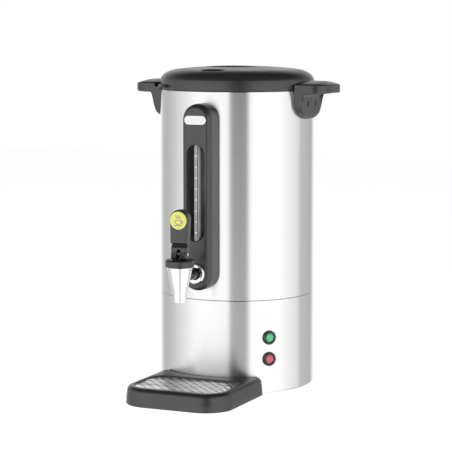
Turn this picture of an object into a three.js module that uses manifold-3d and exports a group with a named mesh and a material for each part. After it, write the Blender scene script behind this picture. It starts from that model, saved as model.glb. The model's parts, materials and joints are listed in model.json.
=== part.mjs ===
// Coffee percolator for a counter: steel tank and base, lid, tap, level gauge and drip tray.
// Millimetres, +Z up, the tap faces -Y. The origin is on the tank's axis at counter level.
import * as THREE from 'three';
import { mergeVertices } from 'three/addons/utils/BufferGeometryUtils.js';
import Module from 'manifold-3d';

const wasm = await Module();
wasm.setup();

// Driving dimensions. Heights count from the lower edge of the base skirt.
const gap = 0.3;
const overrun = 3;
const standHeight = 1.5;

const tank = {
  radius: 111, sheet: 1, seam: 131.5, rim: 423.6, lip: 4.6, bottom: 146, corner: 6,
  wellRadius: 34, wellDepth: 9, bossRadius: 5, bossLength: 13,
};
const skirt = { sheet: 1.2, ledge: 8, lowerLedge: 5, plateRecess: 3 };
const plate = { thick: 2.4, bossRadius: 7, bossHeight: 7, screwRecess: 3.4 };
const foot = { radius: 10, ring: 90, stem: 3.6, barb: 4.8, barbHeight: 2.6 };
const tie = { ring: 80, radius: 2, head: 4, headHeight: 2.2, grip: 9 };
const heater = { ring: 56, radius: 4, sweepShare: 0.86, pin: 2, pinDrop: 20 };
const sensor = { ring: 80, radius: 9, height: 8, blade: 1, bladeWidth: 6, bladeDrop: 9 };
const block = { length: 42, width: 18, height: 15, hole: 2.2, place: 45 };
const lamp = {
  bezel: 10, barrel: 6.6, depth: 14, proud: 3.4, lens: 5.2, pocket: 3, dome: 1.4, bevel: 1.2,
  angle: 47.1, green: 79.6, red: 49.2,
};
const inlet = {
  height: 38, width: 32, tall: 25, bodyWidth: 28, bodyTall: 21, wall: 1.9, depth: 24, flange: 2.6,
  cavity: 18, pinLength: 13, pinWide: 4, pinThick: 2, pinSpread: 7, pinRise: 2, corner: 3,
};
const toggle = {
  height: 76, width: 26, tall: 27, bodyWidth: 22, bodyTall: 23, opening: 2, depth: 16, flange: 2.2,
  pivot: 5, tilt: 8, reach: 8.2, back: 5, crest: 6.4, edge: 3.6, corner: 2, play: 1.2,
};
const gauge = {
  halfWidth: 21, drop: 25, high: 407.5, front: 142, edgeIn: 4, edgeDeep: 8, wall: 3, pocket: 120,
  windowHalf: 13.3, windowRise: 44.7, windowHigh: 351.3, windowFloor: 127,
  tubeRadius: 4.8, tubeWall: 1.1, tubePlace: 134.5, tubeEnd: 366, sealWidth: 1.6, sealHeight: 3,
  scaleHalf: 6, scaleThick: 0.8, scaleMargin: 4, screwHeight: 392, bossRadius: 5.5,
  screwRadius: 2, screwHead: 4, screwHeadHeight: 2.4, screwBite: 9,
};
const tap = {
  place: 191, rise: 27, thread: 8, block: 10.5, blockStart: 115, neck: 7, bore: 3.6,
  socketDrop: 4, inside: 94, nutRadius: 13, nutThick: 7, ringRadius: 14.5, ringDeep: 4,
  gasket: 12,
};
// Heights of the spout, the bonnet, the stem, the cup and the lever's pin count from the tap's axis.
const spout = {
  low: -32.7, top: 21, wall: 1.6, outlet: 5.8, lipRadius: 8.4, seatLow: -17, seatHigh: -13.5,
  seatRadius: 8.4, collarRadius: 16.4, collarLow: 15.7,
  midRadius: 11.45, midHeight: -10.4, neckRadius: 8.7, neckHeight: -23, hipRadius: 13.9, hipHeight: 1.5,
};
const bonnet = { radius: 19.4, low: 16, top: 25.6, skin: 4.2, bevel: 1 };
const stem = { radius: 2, collar: 5, collarLow: 7, collarHeight: 2, cupGrip: 12, eye: 4.2, eyeHalf: 2.6 };
const cup = { radius: 7.8, waist: 6, shoulder: -7, waistHeight: -1, top: 5, nose: 5.4 };
const spring = { coil: 4, wire: 0.6, turns: 4.5 };
const lever = {
  pin: 1.5, pivot: 33, lift: 2.3, sweep: 45, frontDeep: 7, neckDeep: 4.2, backDeep: 7,
  neckTop: 10, lipHeight: 15, topHeight: 59, topRound: 3, headHalf: 13.4, waistHalf: 12.2,
  neckHalf: 11.8, footHalf: 10.6, shoulderHeight: 4, slotHalf: 3.1, slotTop: 7, slotBack: 4.9,
  discRadius: 12.2, discHeight: 44.3, discThick: 0.8, discRecess: 0.5,
};
const lid = {
  radius: 111.7, wall: 2.7, crease: 439.5, crown: 457, domeRadius: 800, shoulder: 84, shoulderPull: 106,
  spigot: 104.2, spigotWall: 1.8, spigotLow: 414, hookRadius: 105.6, hookHeight: 2.7,
  sealRadius: 106.1, sealHeight: 6.2, flange: 427,
  gripRadius: 45, gripBar: 16, gripFloor: 443, gripWall: 2.8, barWall: 3,
  ventPlace: 84, ventLong: 20, ventWide: 9, ventFloor: 450, ventPad: 2.4, ventSlot: 12, ventSlotWide: 1.2,
  ventPitch: 4.6, lugAngle: 46, lugReach: 119, lugHalf: 6.5, lugLow: 427, lugHigh: 431.6,
};
const handle = {
  halfWidth: 40, reach: 151.3, underside: 418.6, top: 437, edgeTop: 431.4, outerTop: 430.6,
  bracket: 116.3, bracketLow: 383, bracketCorner: 26, toe: 110.8, heel: 389, heelIn: 0.8,
  fillet: 7, corner: 26, lidClearance: 0.6, slotLow: 426.4, slotHigh: 432.2, slotReach: 120,
  slotStop: 8.5, screwSpread: 14, screwHeight: 404, screwRadius: 2, headRadius: 3.9, headHeight: 1.8,
  headRecess: 2.6, nutRadius: 4.2, nutLength: 7, nutGrip: 4.6,
};
const tray = {
  halfWidth: 77.5, front: 230.5, rear: 82, frontCorner: 40, rearCorner: 8, height: 24.8, draft: 1.6,
  filletIn: 6.6, filletHigh: 6.5, wall: 2.5, floor: 4, floorLift: 1.5, bodyClearance: 0.3,
  recessHalf: 67.4, recessFront: 215.8, recessRear: 129.5, recessCorner: 27, recessRearCorner: 21,
  ledge: 21.7, ledgeWide: 5,
};
const grille = { thick: 1.2, play: 0.5, hole: 3, pitchX: 7.2, pitchY: 7.3, margin: 1.3 };
const pump = {
  radius: 6, bore: 4.8, top: 395, collar: 8, collarLow: 288, collarHeight: 2, footRadius: 31,
  footHeight: 6.3, footWall: 1, neckRadius: 13, coneTop: 156, intake: 8, washer: 24, washerRise: 2.5,
};
const basket = {
  radius: 70, sheet: 1, height: 81, rim: 2.5, guide: 7.6, holeRadius: 1.8, holeRings: 2, holeStep: 24,
};
const spreader = { rim: 6.2, collar: 8, collarRise: 7, holeRadius: 2, holes: 10, holeRing: 46 };

// Facets round a full turn.
const wide = 28;
const middling = 16;
const small = 12;
const few = 8;

const quarter = Math.PI / 2;
const degree = Math.PI / 180;
const innerTank = tank.radius - tank.sheet;
const innerSkirt = tank.radius - skirt.sheet;
const plateTop = skirt.plateRecess - gap;
const plateLow = plateTop - plate.thick;
const wellFloor = tank.bottom - tank.wellDepth;
const innerFlat = innerTank * Math.cos(Math.PI / wide);
const tapHeight = tank.bottom + tap.rise;
const gaugeLow = tapHeight - gauge.drop;
const windowLow = tapHeight + gauge.windowRise;

// How far from the axis a flat face of a given half width can lie inside the tank's curved wall.
const faceInside = (halfWidth) => Math.sqrt(innerTank ** 2 - halfWidth ** 2) - (innerTank - innerFlat) - gap;

const brushedSteel = { color: 0xc6c7c6, roughness: 0.35, metalness: 1 };
const plainSteel = { color: 0xb4b6b8, roughness: 0.4, metalness: 1 };
const polishedSteel = { color: 0xdcdddd, roughness: 0.18, metalness: 1 };
const chrome = { color: 0xe8e9ea, roughness: 0.08, metalness: 1 };
const satinBlack = { color: 0x2c2c2d, roughness: 0.5, metalness: 0 };
const glossBlack = { color: 0x141415, roughness: 0.2, metalness: 0 };
const greyRubber = { color: 0x3a3a3a, roughness: 0.85, metalness: 0 };
const clearSilicone = { color: 0xd9d6cc, roughness: 0.6, metalness: 0 };
const clearTube = { color: 0xe6edf0, roughness: 0.05, metalness: 0, transparent: true, opacity: 0.35 };
const ceramic = { color: 0xe9e4d8, roughness: 0.7, metalness: 0 };
const yellowPaint = { color: 0xe4e56a, roughness: 0.4, metalness: 0 };
const greenLens = { color: 0x2fbf7a, roughness: 0.15, metalness: 0 };
const redLens = { color: 0xd63d4c, roughness: 0.15, metalness: 0 };

// A geometry as a solid for joins and cuts, with its faces turned outwards.
function solid(geometry) {
  const bare = new THREE.BufferGeometry();
  bare.setAttribute('position', geometry.getAttribute('position'));
  bare.setIndex(geometry.getIndex());
  const merged = mergeVertices(bare, 1e-4);
  const index = merged.getIndex().array;
  const place = merged.getAttribute('position').array;
  const triangles = [];
  let volume = 0;
  const corners = [new THREE.Vector3(), new THREE.Vector3(), new THREE.Vector3()];
  for (let i = 0; i < index.length; i += 3) {
    const [a, b, c] = index.slice(i, i + 3);
    if (a === b || b === c || c === a) continue;
    triangles.push([a, b, c]);
    [a, b, c].forEach((vertex, corner) => corners[corner].fromArray(place, 3 * vertex));
    volume += corners[0].dot(corners[1].cross(corners[2]));
  }
  const turned = triangles.map(([a, b, c]) => (volume < 0 ? [a, c, b] : [a, b, c]));
  const mesh = new wasm.Mesh({
    numProp: 3,
    vertProperties: Float32Array.from(place),
    triVerts: Uint32Array.from(turned.flat()),
  });
  return new wasm.Manifold(mesh);
}

// A solid's triangles as a geometry.
function geometryOf(body) {
  const mesh = body.getMesh();
  const geometry = new THREE.BufferGeometry();
  geometry.setAttribute('position', new THREE.BufferAttribute(Float32Array.from(mesh.vertProperties), 3));
  geometry.setIndex(new THREE.BufferAttribute(Uint32Array.from(mesh.triVerts), 1));
  geometry.computeVertexNormals();
  return geometry;
}

// Adds a named piece, a solid with a finish of its own, to a group.
function addPiece(parent, name, body, look) {
  const mesh = new THREE.Mesh(geometryOf(body), new THREE.MeshStandardMaterial(look));
  mesh.name = name;
  parent.add(mesh);
  return mesh;
}

// Turns a profile of [radius, height] points round the Z axis. A profile that leaves the axis out is a ring.
function revolved(profile, facets) {
  const onAxis = profile[0][0] === 0;
  const points = profile.map(([radius, height]) => new THREE.Vector2(radius, height));
  if (!onAxis) points.push(points[0].clone());
  return new THREE.LatheGeometry(points, facets).rotateX(quarter);
}

const turnedSolid = (profile, facets) => solid(revolved(profile, facets));

// The corner radius of a many-sided bore whose flats stay clear of a round of this radius.
const boreRadius = (radius, facets) => radius / Math.cos(Math.PI / facets);

function rod(radius, low, high, facets) {
  return revolved([[0, low], [radius, low], [radius, high], [0, high]], facets);
}

function ring(inner, outer, low, high, facets) {
  return turnedSolid([[inner, low], [outer, low], [outer, high], [inner, high]], facets);
}

// A hole cutter: a rod whose flats clear the given radius.
const drill = (radius, low, high, facets) => rod(boreRadius(radius, facets), low, high, facets);

// Lays a geometry that was made along +Z so that it points forwards, along -Y.
const forwards = (geometry) => geometry.rotateX(quarter);

function raised(shape, low, high, curveSegments = 4) {
  const settings = { depth: high - low, bevelEnabled: false, curveSegments };
  return new THREE.ExtrudeGeometry(shape, settings).translate(0, 0, low);
}

// A shape drawn in X and Z, drawn out forwards from one distance in front of the axis to another.
function drawnForwards(shape, from, to, curveSegments = 4) {
  return forwards(raised(shape, from, to, curveSegments));
}

// A shape drawn in Y and Z, drawn out across X from -half to half.
function drawnAcross(shape, half, curveSegments = 4) {
  return raised(shape, -half, half, curveSegments).rotateX(quarter).rotateZ(quarter);
}

function outline(points) {
  return new THREE.Shape(points.map(([x, y]) => new THREE.Vector2(x, y)));
}

function rectangle(halfWidth, low, high) {
  return outline([[-halfWidth, low], [halfWidth, low], [halfWidth, high], [-halfWidth, high]]);
}

function box(lowX, highX, lowY, highY, lowZ, highZ) {
  return raised(outline([[lowX, lowY], [highX, lowY], [highX, highY], [lowX, highY]]), lowZ, highZ);
}

// Points of an arc in degrees, both ends included.
function arcPoints(x, y, radiusX, radiusY, from, to, steps) {
  return Array.from({ length: steps + 1 }, (_, i) => {
    const angle = (from + ((to - from) * i) / steps) * degree;
    return [x + radiusX * Math.cos(angle), y + radiusY * Math.sin(angle)];
  });
}

// Points evenly round a closed oval.
function ovalPoints(x, y, radiusX, radiusY, count) {
  return arcPoints(x, y, radiusX, radiusY, 0, 360, count).slice(1);
}

// An upright slot shape with half-round ends.
function stadium(half, low, high, steps) {
  return [
    ...arcPoints(0, low + half, half, half, 180, 360, steps),
    ...arcPoints(0, high - half, half, half, 0, 180, steps),
  ];
}

// A rectangle with round corners; every corner is given as [x, y, radius], anticlockwise.
function roundedPlan(corners, steps) {
  const turns = [180, 270, 0, 90];
  return corners.flatMap(([x, y, radius], i) => {
    const signX = i === 0 || i === 3 ? 1 : -1;
    const signY = i < 2 ? 1 : -1;
    return arcPoints(x + signX * radius, y + signY * radius, radius, radius, turns[i], turns[i] + 90, steps[i]);
  });
}

// Skins a stack of rings with the same number of points each, and closes both ends.
function lofted(rings) {
  const count = rings[0].length;
  const position = rings.flat(2);
  const index = [];
  for (let level = 0; level + 1 < rings.length; level += 1) {
    for (let i = 0; i < count; i += 1) {
      const a = level * count + i;
      const b = level * count + ((i + 1) % count);
      index.push(a, b, b + count, a, b + count, a + count);
    }
  }
  const last = (rings.length - 1) * count;
  for (let i = 1; i + 1 < count; i += 1) {
    index.push(0, i + 1, i, last, last + i, last + i + 1);
  }
  const geometry = new THREE.BufferGeometry();
  geometry.setAttribute('position', new THREE.Float32BufferAttribute(position, 3));
  geometry.setIndex(index);
  return geometry;
}

// A round section carried along a curve.
function tubeAlong(curve, radius, sides, steps) {
  const section = outline(ovalPoints(0, 0, radius, radius, sides));
  return new THREE.ExtrudeGeometry(section, { steps, extrudePath: curve, curveSegments: 1 });
}

class Helix extends THREE.Curve {
  constructor(radius, low, high, turns) {
    super();
    Object.assign(this, { radius, low, high, turns });
  }

  getPoint(share, target = new THREE.Vector3()) {
    const angle = 2 * Math.PI * this.turns * share;
    const height = this.low + (this.high - this.low) * share;
    return target.set(this.radius * Math.cos(angle), this.radius * Math.sin(angle), height);
  }
}

const joined = (...bodies) => bodies.reduce((whole, body) => whole.add(body));
const cut = (body, ...tools) => tools.reduce((left, tool) => left.subtract(solid(tool)), body);

// Calls a maker once for each of a number of places evenly round the axis.
function aroundAxis(count, firstAngle, make) {
  return Array.from({ length: count }, (_, i) => make((firstAngle + (360 * i) / count) * degree, i));
}

function polar(geometry, radius, angle) {
  return geometry.translate(radius * Math.cos(angle), radius * Math.sin(angle), 0);
}

// A geometry made along +Z, moved so that it points outwards from the axis at an angle and height.
function pointingOut(geometry, radius, angle, height) {
  return geometry.rotateY(quarter).translate(radius, 0, height).rotateZ(angle);
}

const percolator = new THREE.Group();
const standing = new THREE.Group();
standing.position.z = standHeight;
percolator.add(standing);

const lampAngle = (lamp.angle - 90) * degree;

// Base: a steel ring, closed from below by a plate on rubber feet.
function baseSkirt() {
  const ledgeTop = skirt.plateRecess + skirt.sheet;
  const shell = turnedSolid([
    [tank.radius, 0], [tank.radius, tank.seam],
    [tank.radius - skirt.ledge, tank.seam], [tank.radius - skirt.ledge, tank.seam - skirt.sheet],
    [innerSkirt, tank.seam - skirt.sheet], [innerSkirt, ledgeTop],
    [innerSkirt - skirt.lowerLedge, ledgeTop], [innerSkirt - skirt.lowerLedge, skirt.plateRecess],
    [innerSkirt, skirt.plateRecess], [innerSkirt, 0],
  ], wide);
  const through = [-lamp.depth, lamp.depth];
  const lampHoles = [lamp.green, lamp.red].map((height) =>
    pointingOut(drill(lamp.barrel + gap, ...through, small), tank.radius, lampAngle, height));
  const windows = [[inlet, inlet.bodyWidth, inlet.bodyTall], [toggle, toggle.bodyWidth, toggle.bodyTall]]
    .map(([piece, across, tall]) => {
      const low = piece.height - tall / 2 - gap;
      const high = piece.height + tall / 2 + gap;
      return box(-across / 2 - gap, across / 2 + gap, tank.radius - lamp.depth, tank.radius + overrun, low, high);
    });
  return cut(shell, ...lampHoles, ...windows);
}

function basePlate() {
  const disc = solid(rod(innerSkirt - gap, plateLow, plateTop, wide));
  const bosses = aroundAxis(3, 90, (angle) =>
    solid(polar(rod(plate.bossRadius, plateLow, plate.bossHeight, few), tie.ring, angle)));
  const screwHoles = aroundAxis(3, 90, (angle) =>
    polar(drill(tie.radius + gap, -overrun, plate.bossHeight + overrun, few), tie.ring, angle));
  const headHoles = aroundAxis(3, 90, (angle) =>
    polar(drill(tie.head + gap, -overrun, plate.screwRecess, few), tie.ring, angle));
  const footHoles = aroundAxis(4, 45, (angle) =>
    polar(drill(foot.stem + gap, -overrun, plateTop + overrun, few), foot.ring, angle));
  return cut(joined(disc, ...bosses), ...screwHoles, ...headHoles, ...footHoles);
}

function rubberFoot() {
  const barbLow = plateTop + gap;
  return turnedSolid([
    [0, -standHeight], [foot.radius, -standHeight], [foot.radius, plateLow - gap],
    [foot.stem, plateLow - gap], [foot.stem, barbLow], [foot.barb, barbLow],
    [foot.stem, barbLow + foot.barbHeight], [0, barbLow + foot.barbHeight],
  ], few);
}

// Long screw that pulls the plate, the skirt and the tank together.
function tieScrew() {
  const headTop = plate.screwRecess - gap;
  const top = tank.bottom - tank.sheet - tank.bossLength + tie.grip;
  return turnedSolid([
    [0, headTop - tie.headHeight], [tie.head, headTop - tie.headHeight], [tie.head, headTop],
    [tie.radius, headTop], [tie.radius, top], [0, top],
  ], few);
}

// Tank: one drawn wall with a rolled-in rim, a welded bottom with a pump well, and screw bosses below.
function tankBody() {
  const underside = tank.bottom - tank.sheet;
  const shell = turnedSolid([
    [0, wellFloor - tank.sheet], [tank.wellRadius + tank.sheet, wellFloor - tank.sheet],
    [tank.wellRadius + tank.sheet, underside], [innerTank, underside],
    [innerTank, tank.seam + gap], [tank.radius, tank.seam + gap], [tank.radius, tank.rim],
    [tank.radius - tank.lip, tank.rim], [tank.radius - tank.lip, tank.rim - tank.sheet],
    [innerTank, tank.rim - tank.sheet], [innerTank, tank.bottom + tank.corner],
    [innerTank - tank.corner, tank.bottom], [tank.wellRadius, tank.bottom],
    [tank.wellRadius, wellFloor], [0, wellFloor],
  ], wide);
  const bossLow = underside - tank.bossLength;
  const bosses = aroundAxis(3, 90, (angle) =>
    solid(polar(rod(tank.bossRadius, bossLow, underside + tank.sheet / 2, few), tie.ring, angle)));
  const bossHoles = aroundAxis(3, 90, (angle) =>
    polar(drill(tie.radius + gap, bossLow - overrun, bossLow + tie.grip + gap, few), tie.ring, angle));
  const wallCut = [innerTank - overrun, tank.radius + overrun];
  const tapHole = forwards(drill(tap.thread + gap, ...wallCut, middling)).translate(0, 0, tapHeight);
  const gaugeHole = forwards(drill(gauge.screwRadius + gap, ...wallCut, small)).translate(0, 0, gauge.screwHeight);
  const handleHoles = [-1, 1].flatMap((side) => [-1, 1].map((end) =>
    drill(handle.screwRadius + gap, innerTank - 2 * overrun, tank.radius + overrun, small)
      .rotateY(side * quarter).translate(0, end * handle.screwSpread, handle.screwHeight)));
  return cut(joined(shell, ...bosses), ...bossHoles, tapHole, gaugeHole, ...handleHoles);
}

addPiece(standing, 'base_skirt', baseSkirt(), brushedSteel);
addPiece(standing, 'base_plate', basePlate(), satinBlack);
aroundAxis(4, 45, (angle, i) => {
  const piece = addPiece(standing, `foot_${i + 1}`, rubberFoot(), greyRubber);
  piece.position.set(foot.ring * Math.cos(angle), foot.ring * Math.sin(angle), 0);
});
aroundAxis(3, 90, (angle, i) => {
  const piece = addPiece(standing, `tie_screw_${i + 1}`, tieScrew(), plainSteel);
  piece.position.set(tie.ring * Math.cos(angle), tie.ring * Math.sin(angle), 0);
});
addPiece(standing, 'tank_body', tankBody(), brushedSteel);

// Heating and control pieces under the tank's bottom.
function heatingElement() {
  const height = tank.bottom - tank.sheet - gap - heater.radius;
  const loop = new Helix(heater.ring, height, height, heater.sweepShare);
  const ends = [0, 1].map((share) => loop.getPoint(share));
  const pins = ends.map((end) =>
    solid(rod(heater.pin, height - heater.pinDrop, height, few).translate(end.x, end.y, 0)));
  return joined(solid(tubeAlong(loop, heater.radius, 6, 22)), ...pins);
}

function discSensor() {
  const top = tank.bottom - tank.sheet - gap;
  const low = top - sensor.height;
  const can = solid(rod(sensor.radius, low, top, small));
  const blades = [-1, 1].map((side) => {
    const place = (side * sensor.radius) / 2;
    const halfWidth = sensor.bladeWidth / 2;
    return solid(box(place, place + sensor.blade, -halfWidth, halfWidth, low - sensor.bladeDrop, low + sensor.blade));
  });
  return joined(can, ...blades);
}

function terminalBlock() {
  const low = plateTop + gap;
  const halfLength = block.length / 2;
  const body = solid(box(-halfLength, halfLength, -block.width / 2, block.width / 2, low, low + block.height));
  const holes = [-1, 0, 1].map((share) =>
    drill(block.hole, low + block.height / 2, low + block.height + overrun, few)
      .translate((share * block.length) / 3, 0, 0));
  return cut(body, ...holes);
}

addPiece(standing, 'heating_element', heatingElement(), plainSteel);
[['thermostat', 30], ['boil_dry_cutout', 150]].forEach(([name, angle]) => {
  const piece = addPiece(standing, name, discSensor(), plainSteel);
  piece.position.set(sensor.ring * Math.cos(angle * degree), sensor.ring * Math.sin(angle * degree), 0);
});
addPiece(standing, 'terminal_block', terminalBlock(), ceramic).position.set(0, block.place, 0);

// Indicator lamps, made along +Z with the skirt's surface at zero.
function lampBezel() {
  return turnedSolid([
    [0, -lamp.depth], [lamp.barrel, -lamp.depth], [lamp.barrel, gap], [lamp.bezel, gap],
    [lamp.bezel, lamp.proud - lamp.bevel], [lamp.bezel - lamp.bevel, lamp.proud],
    [lamp.lens + lamp.bevel, lamp.proud], [lamp.lens + gap, lamp.proud - lamp.bevel],
    [lamp.lens + gap, -lamp.pocket], [0, -lamp.pocket],
  ], small);
}

function lampLens() {
  const edge = lamp.proud - lamp.bevel;
  return turnedSolid([
    [0, gap - lamp.pocket], [lamp.lens, gap - lamp.pocket], [lamp.lens, edge],
    [lamp.lens * Math.cos(45 * degree), edge + lamp.dome * Math.sin(45 * degree)], [0, edge + lamp.dome],
  ], small);
}

[['green', lamp.green, greenLens], ['red', lamp.red, redLens]].forEach(([colour, height, look]) => {
  const holder = new THREE.Group();
  holder.position.set(tank.radius * Math.cos(lampAngle), tank.radius * Math.sin(lampAngle), height);
  holder.rotation.set(0, quarter, lampAngle, 'ZYX');
  standing.add(holder);
  addPiece(holder, `${colour}_lamp_bezel`, lampBezel(), satinBlack);
  addPiece(holder, `${colour}_lamp_lens`, lampLens(), look);
});

// A panel fitting at the back: a flange that hugs the skirt, and a body through its window.
function rearFitting(size) {
  const plan = (halfWidth, halfTall, corner) => outline(roundedPlan([
    [-halfWidth, size.height - halfTall, corner], [halfWidth, size.height - halfTall, corner],
    [halfWidth, size.height + halfTall, corner], [-halfWidth, size.height + halfTall, corner],
  ], [2, 2, 2, 2]));
  const face = tank.radius + size.flange;
  const flange = solid(drawnForwards(plan(size.width / 2, size.tall / 2, size.corner), -face, size.flange - tank.radius));
  const hugged = cut(flange, drill(tank.radius + gap, 0, tank.seam, wide));
  const barrelShape = rectangle(size.bodyWidth / 2, size.height - size.bodyTall / 2, size.height + size.bodyTall / 2);
  const barrel = drawnForwards(barrelShape, -face + size.flange / 2, size.depth - tank.radius);
  return joined(hugged, solid(barrel));
}

function powerInlet() {
  const mouth = tank.radius + inlet.flange;
  const floor = mouth - inlet.cavity;
  const halfWidth = inlet.bodyWidth / 2 - inlet.wall;
  const halfTall = inlet.bodyTall / 2 - inlet.wall;
  const cavity = box(-halfWidth, halfWidth, floor, mouth + overrun, inlet.height - halfTall, inlet.height + halfTall);
  const pins = [-1, 0, 1].map((share) => {
    const x = share * inlet.pinSpread;
    const z = inlet.height + (share === 0 ? inlet.pinRise : -inlet.pinRise);
    const [wideHalf, tallHalf] = [inlet.pinThick / 2, inlet.pinWide / 2];
    return solid(box(x - wideHalf, x + wideHalf, floor - 1, floor + inlet.pinLength, z - tallHalf, z + tallHalf));
  });
  return joined(cut(rearFitting(inlet), cavity), ...pins);
}

function switchFrame() {
  const halfWidth = toggle.bodyWidth / 2 - toggle.opening;
  const halfTall = toggle.reach + toggle.play;
  const back = tank.radius - toggle.depth + toggle.opening;
  const [low, high] = [toggle.height - halfTall, toggle.height + halfTall];
  return cut(rearFitting(toggle), box(-halfWidth, halfWidth, back, tank.radius + 2 * overrun, low, high));
}

// Rocker: a shallow V that rocks about a line across its middle; it is drawn in its off position.
function switchRocker() {
  const side = outline([
    [-toggle.back, -toggle.reach / 2], [-toggle.back, toggle.reach / 2], [0, toggle.reach],
    [toggle.crest, toggle.reach], [toggle.edge, 0], [toggle.crest, -toggle.reach], [0, -toggle.reach],
  ]);
  const halfWidth = toggle.bodyWidth / 2 - toggle.opening - gap;
  return solid(drawnAcross(side, halfWidth).rotateX(-toggle.tilt * degree));
}

addPiece(standing, 'power_inlet', powerInlet(), satinBlack);
addPiece(standing, 'switch_frame', switchFrame(), satinBlack);
const rocker = addPiece(standing, 'switch_rocker', switchRocker(), glossBlack);
rocker.position.set(0, tank.radius + toggle.flange - toggle.pivot, toggle.height);

// Level gauge: a black housing with round ends, hollow behind, and a window for the clear tube.
const gaugeTubeBore = gauge.tubeRadius + gap;
const blockTop = tapHeight + tap.block;
const sealRadius = gaugeTubeBore + gauge.sealWidth;
const lowerSealTop = tapHeight + Math.sqrt(tap.block ** 2 - sealRadius ** 2);
const tubeFoot = tapHeight + tap.socketDrop + gap;

function gaugeHousing() {
  const level = (inset, depth) =>
    stadium(gauge.halfWidth - inset, gaugeLow + inset, gauge.high - inset, 8).map(([x, z]) => [x, -depth, z]);
  const edge = [0, 30, 60, 90].map((angle) => level(
    gauge.edgeIn * (1 - Math.cos(angle * degree)),
    gauge.front - gauge.edgeDeep * (1 - Math.sin(angle * degree)),
  ));
  const outer = solid(lofted([level(0, tank.radius - 3 * overrun), ...edge]));
  const pocketShape = outline(stadium(gauge.halfWidth - gauge.wall, gaugeLow + gauge.wall, gauge.high - gauge.wall, 6));
  const boss = solid(forwards(rod(gauge.bossRadius, 0, gauge.pocket + overrun, small)).translate(0, 0, gauge.screwHeight));
  const pocket = solid(drawnForwards(pocketShape, 0, gauge.pocket)).subtract(boss);
  const windowShape = outline(stadium(gauge.windowHalf, windowLow, gauge.windowHigh, 6));
  const screwEnd = tank.radius + gauge.screwBite;
  return cut(
    outer.subtract(pocket),
    drawnForwards(windowShape, gauge.windowFloor, gauge.front + overrun),
    rod(boreRadius(tank.radius + gap, wide), 0, tank.rim, wide),
    forwards(drill(tap.block + gap, 0, gauge.front + overrun, middling)).translate(0, 0, tapHeight),
    drill(gaugeTubeBore, tapHeight, gauge.tubeEnd + gap, small).translate(0, -gauge.tubePlace, 0),
    drill(sealRadius, gauge.windowHigh - gauge.windowHalf,
      gauge.windowHigh + gauge.sealHeight + gap, small).translate(0, -gauge.tubePlace, 0),
    forwards(drill(gauge.screwRadius + gap, 0, screwEnd + gap, small)).translate(0, 0, gauge.screwHeight),
  );
}

function gaugeScale() {
  const low = windowLow + gauge.scaleMargin;
  const high = gauge.windowHigh - gauge.scaleMargin;
  const back = gauge.windowFloor + gap;
  return solid(drawnForwards(rectangle(gauge.scaleHalf, low, high), back, back + gauge.scaleThick));
}

function gaugeScrew() {
  const headFace = faceInside(gauge.screwHead);
  const end = tank.radius + gauge.screwBite;
  return solid(forwards(revolved([
    [0, headFace - gauge.screwHeadHeight], [gauge.screwHead, headFace - gauge.screwHeadHeight],
    [gauge.screwHead, headFace], [gauge.screwRadius, headFace], [gauge.screwRadius, end], [0, end],
  ], small)));
}

addPiece(standing, 'gauge_housing', gaugeHousing(), satinBlack);
addPiece(standing, 'gauge_scale', gaugeScale(), satinBlack);
addPiece(standing, 'gauge_screw', gaugeScrew(), plainSteel).position.z = gauge.screwHeight;
const tubeBore = gauge.tubeRadius - gauge.tubeWall;
const tubeSeal = (low) => ring(boreRadius(gaugeTubeBore, small), sealRadius - gap, low, low + gauge.sealHeight, small);
const tubeParts = [
  ['sight_tube', ring(tubeBore, gauge.tubeRadius, tubeFoot, gauge.tubeEnd, small), clearTube],
  ['tube_seal_lower', tubeSeal(lowerSealTop - gauge.sealHeight), greyRubber],
  ['tube_seal_upper', tubeSeal(gauge.windowHigh), greyRubber],
];
tubeParts.forEach(([name, body, look]) => {
  addPiece(standing, name, body, look).position.y = -gauge.tubePlace;
});

// Tap. The shank runs forwards from inside the tank, through the gauge housing, into the spout.
const spoutWallAtShank = spout.hipRadius - spout.wall;

function tapShank() {
  const end = tap.place - spoutWallAtShank;
  const blockEnd = gauge.front - gap;
  const body = solid(forwards(revolved([
    [tap.bore, tap.inside], [tap.thread, tap.inside], [tap.thread, tap.blockStart],
    [tap.block, tap.blockStart], [tap.block, blockEnd], [tap.neck, blockEnd], [tap.neck, end], [tap.bore, end],
  ], middling)).translate(0, 0, tapHeight));
  const socket = [
    drill(gauge.tubeRadius - gauge.tubeWall, tapHeight, blockTop, small),
    drill(gaugeTubeBore, tapHeight + tap.socketDrop, blockTop + overrun, small),
    drill(sealRadius, lowerSealTop - gauge.sealHeight - gap, blockTop + overrun, small),
  ].map((tool) => tool.translate(0, -gauge.tubePlace, 0));
  return cut(body, ...socket);
}

function forwardRing(inner, outer, from, to, facets) {
  const profile = [[inner, from], [outer, from], [outer, to], [inner, to]];
  return solid(forwards(revolved(profile, facets)).translate(0, 0, tapHeight));
}

function tapNut() {
  const face = faceInside(tap.nutRadius);
  const hexagon = solid(forwards(rod(tap.nutRadius, face - tap.nutThick, face, 6)));
  const hole = forwards(drill(tap.thread + gap, face - tap.nutThick - overrun, face + overrun, middling));
  return cut(hexagon, hole).translate([0, 0, tapHeight]);
}

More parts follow.
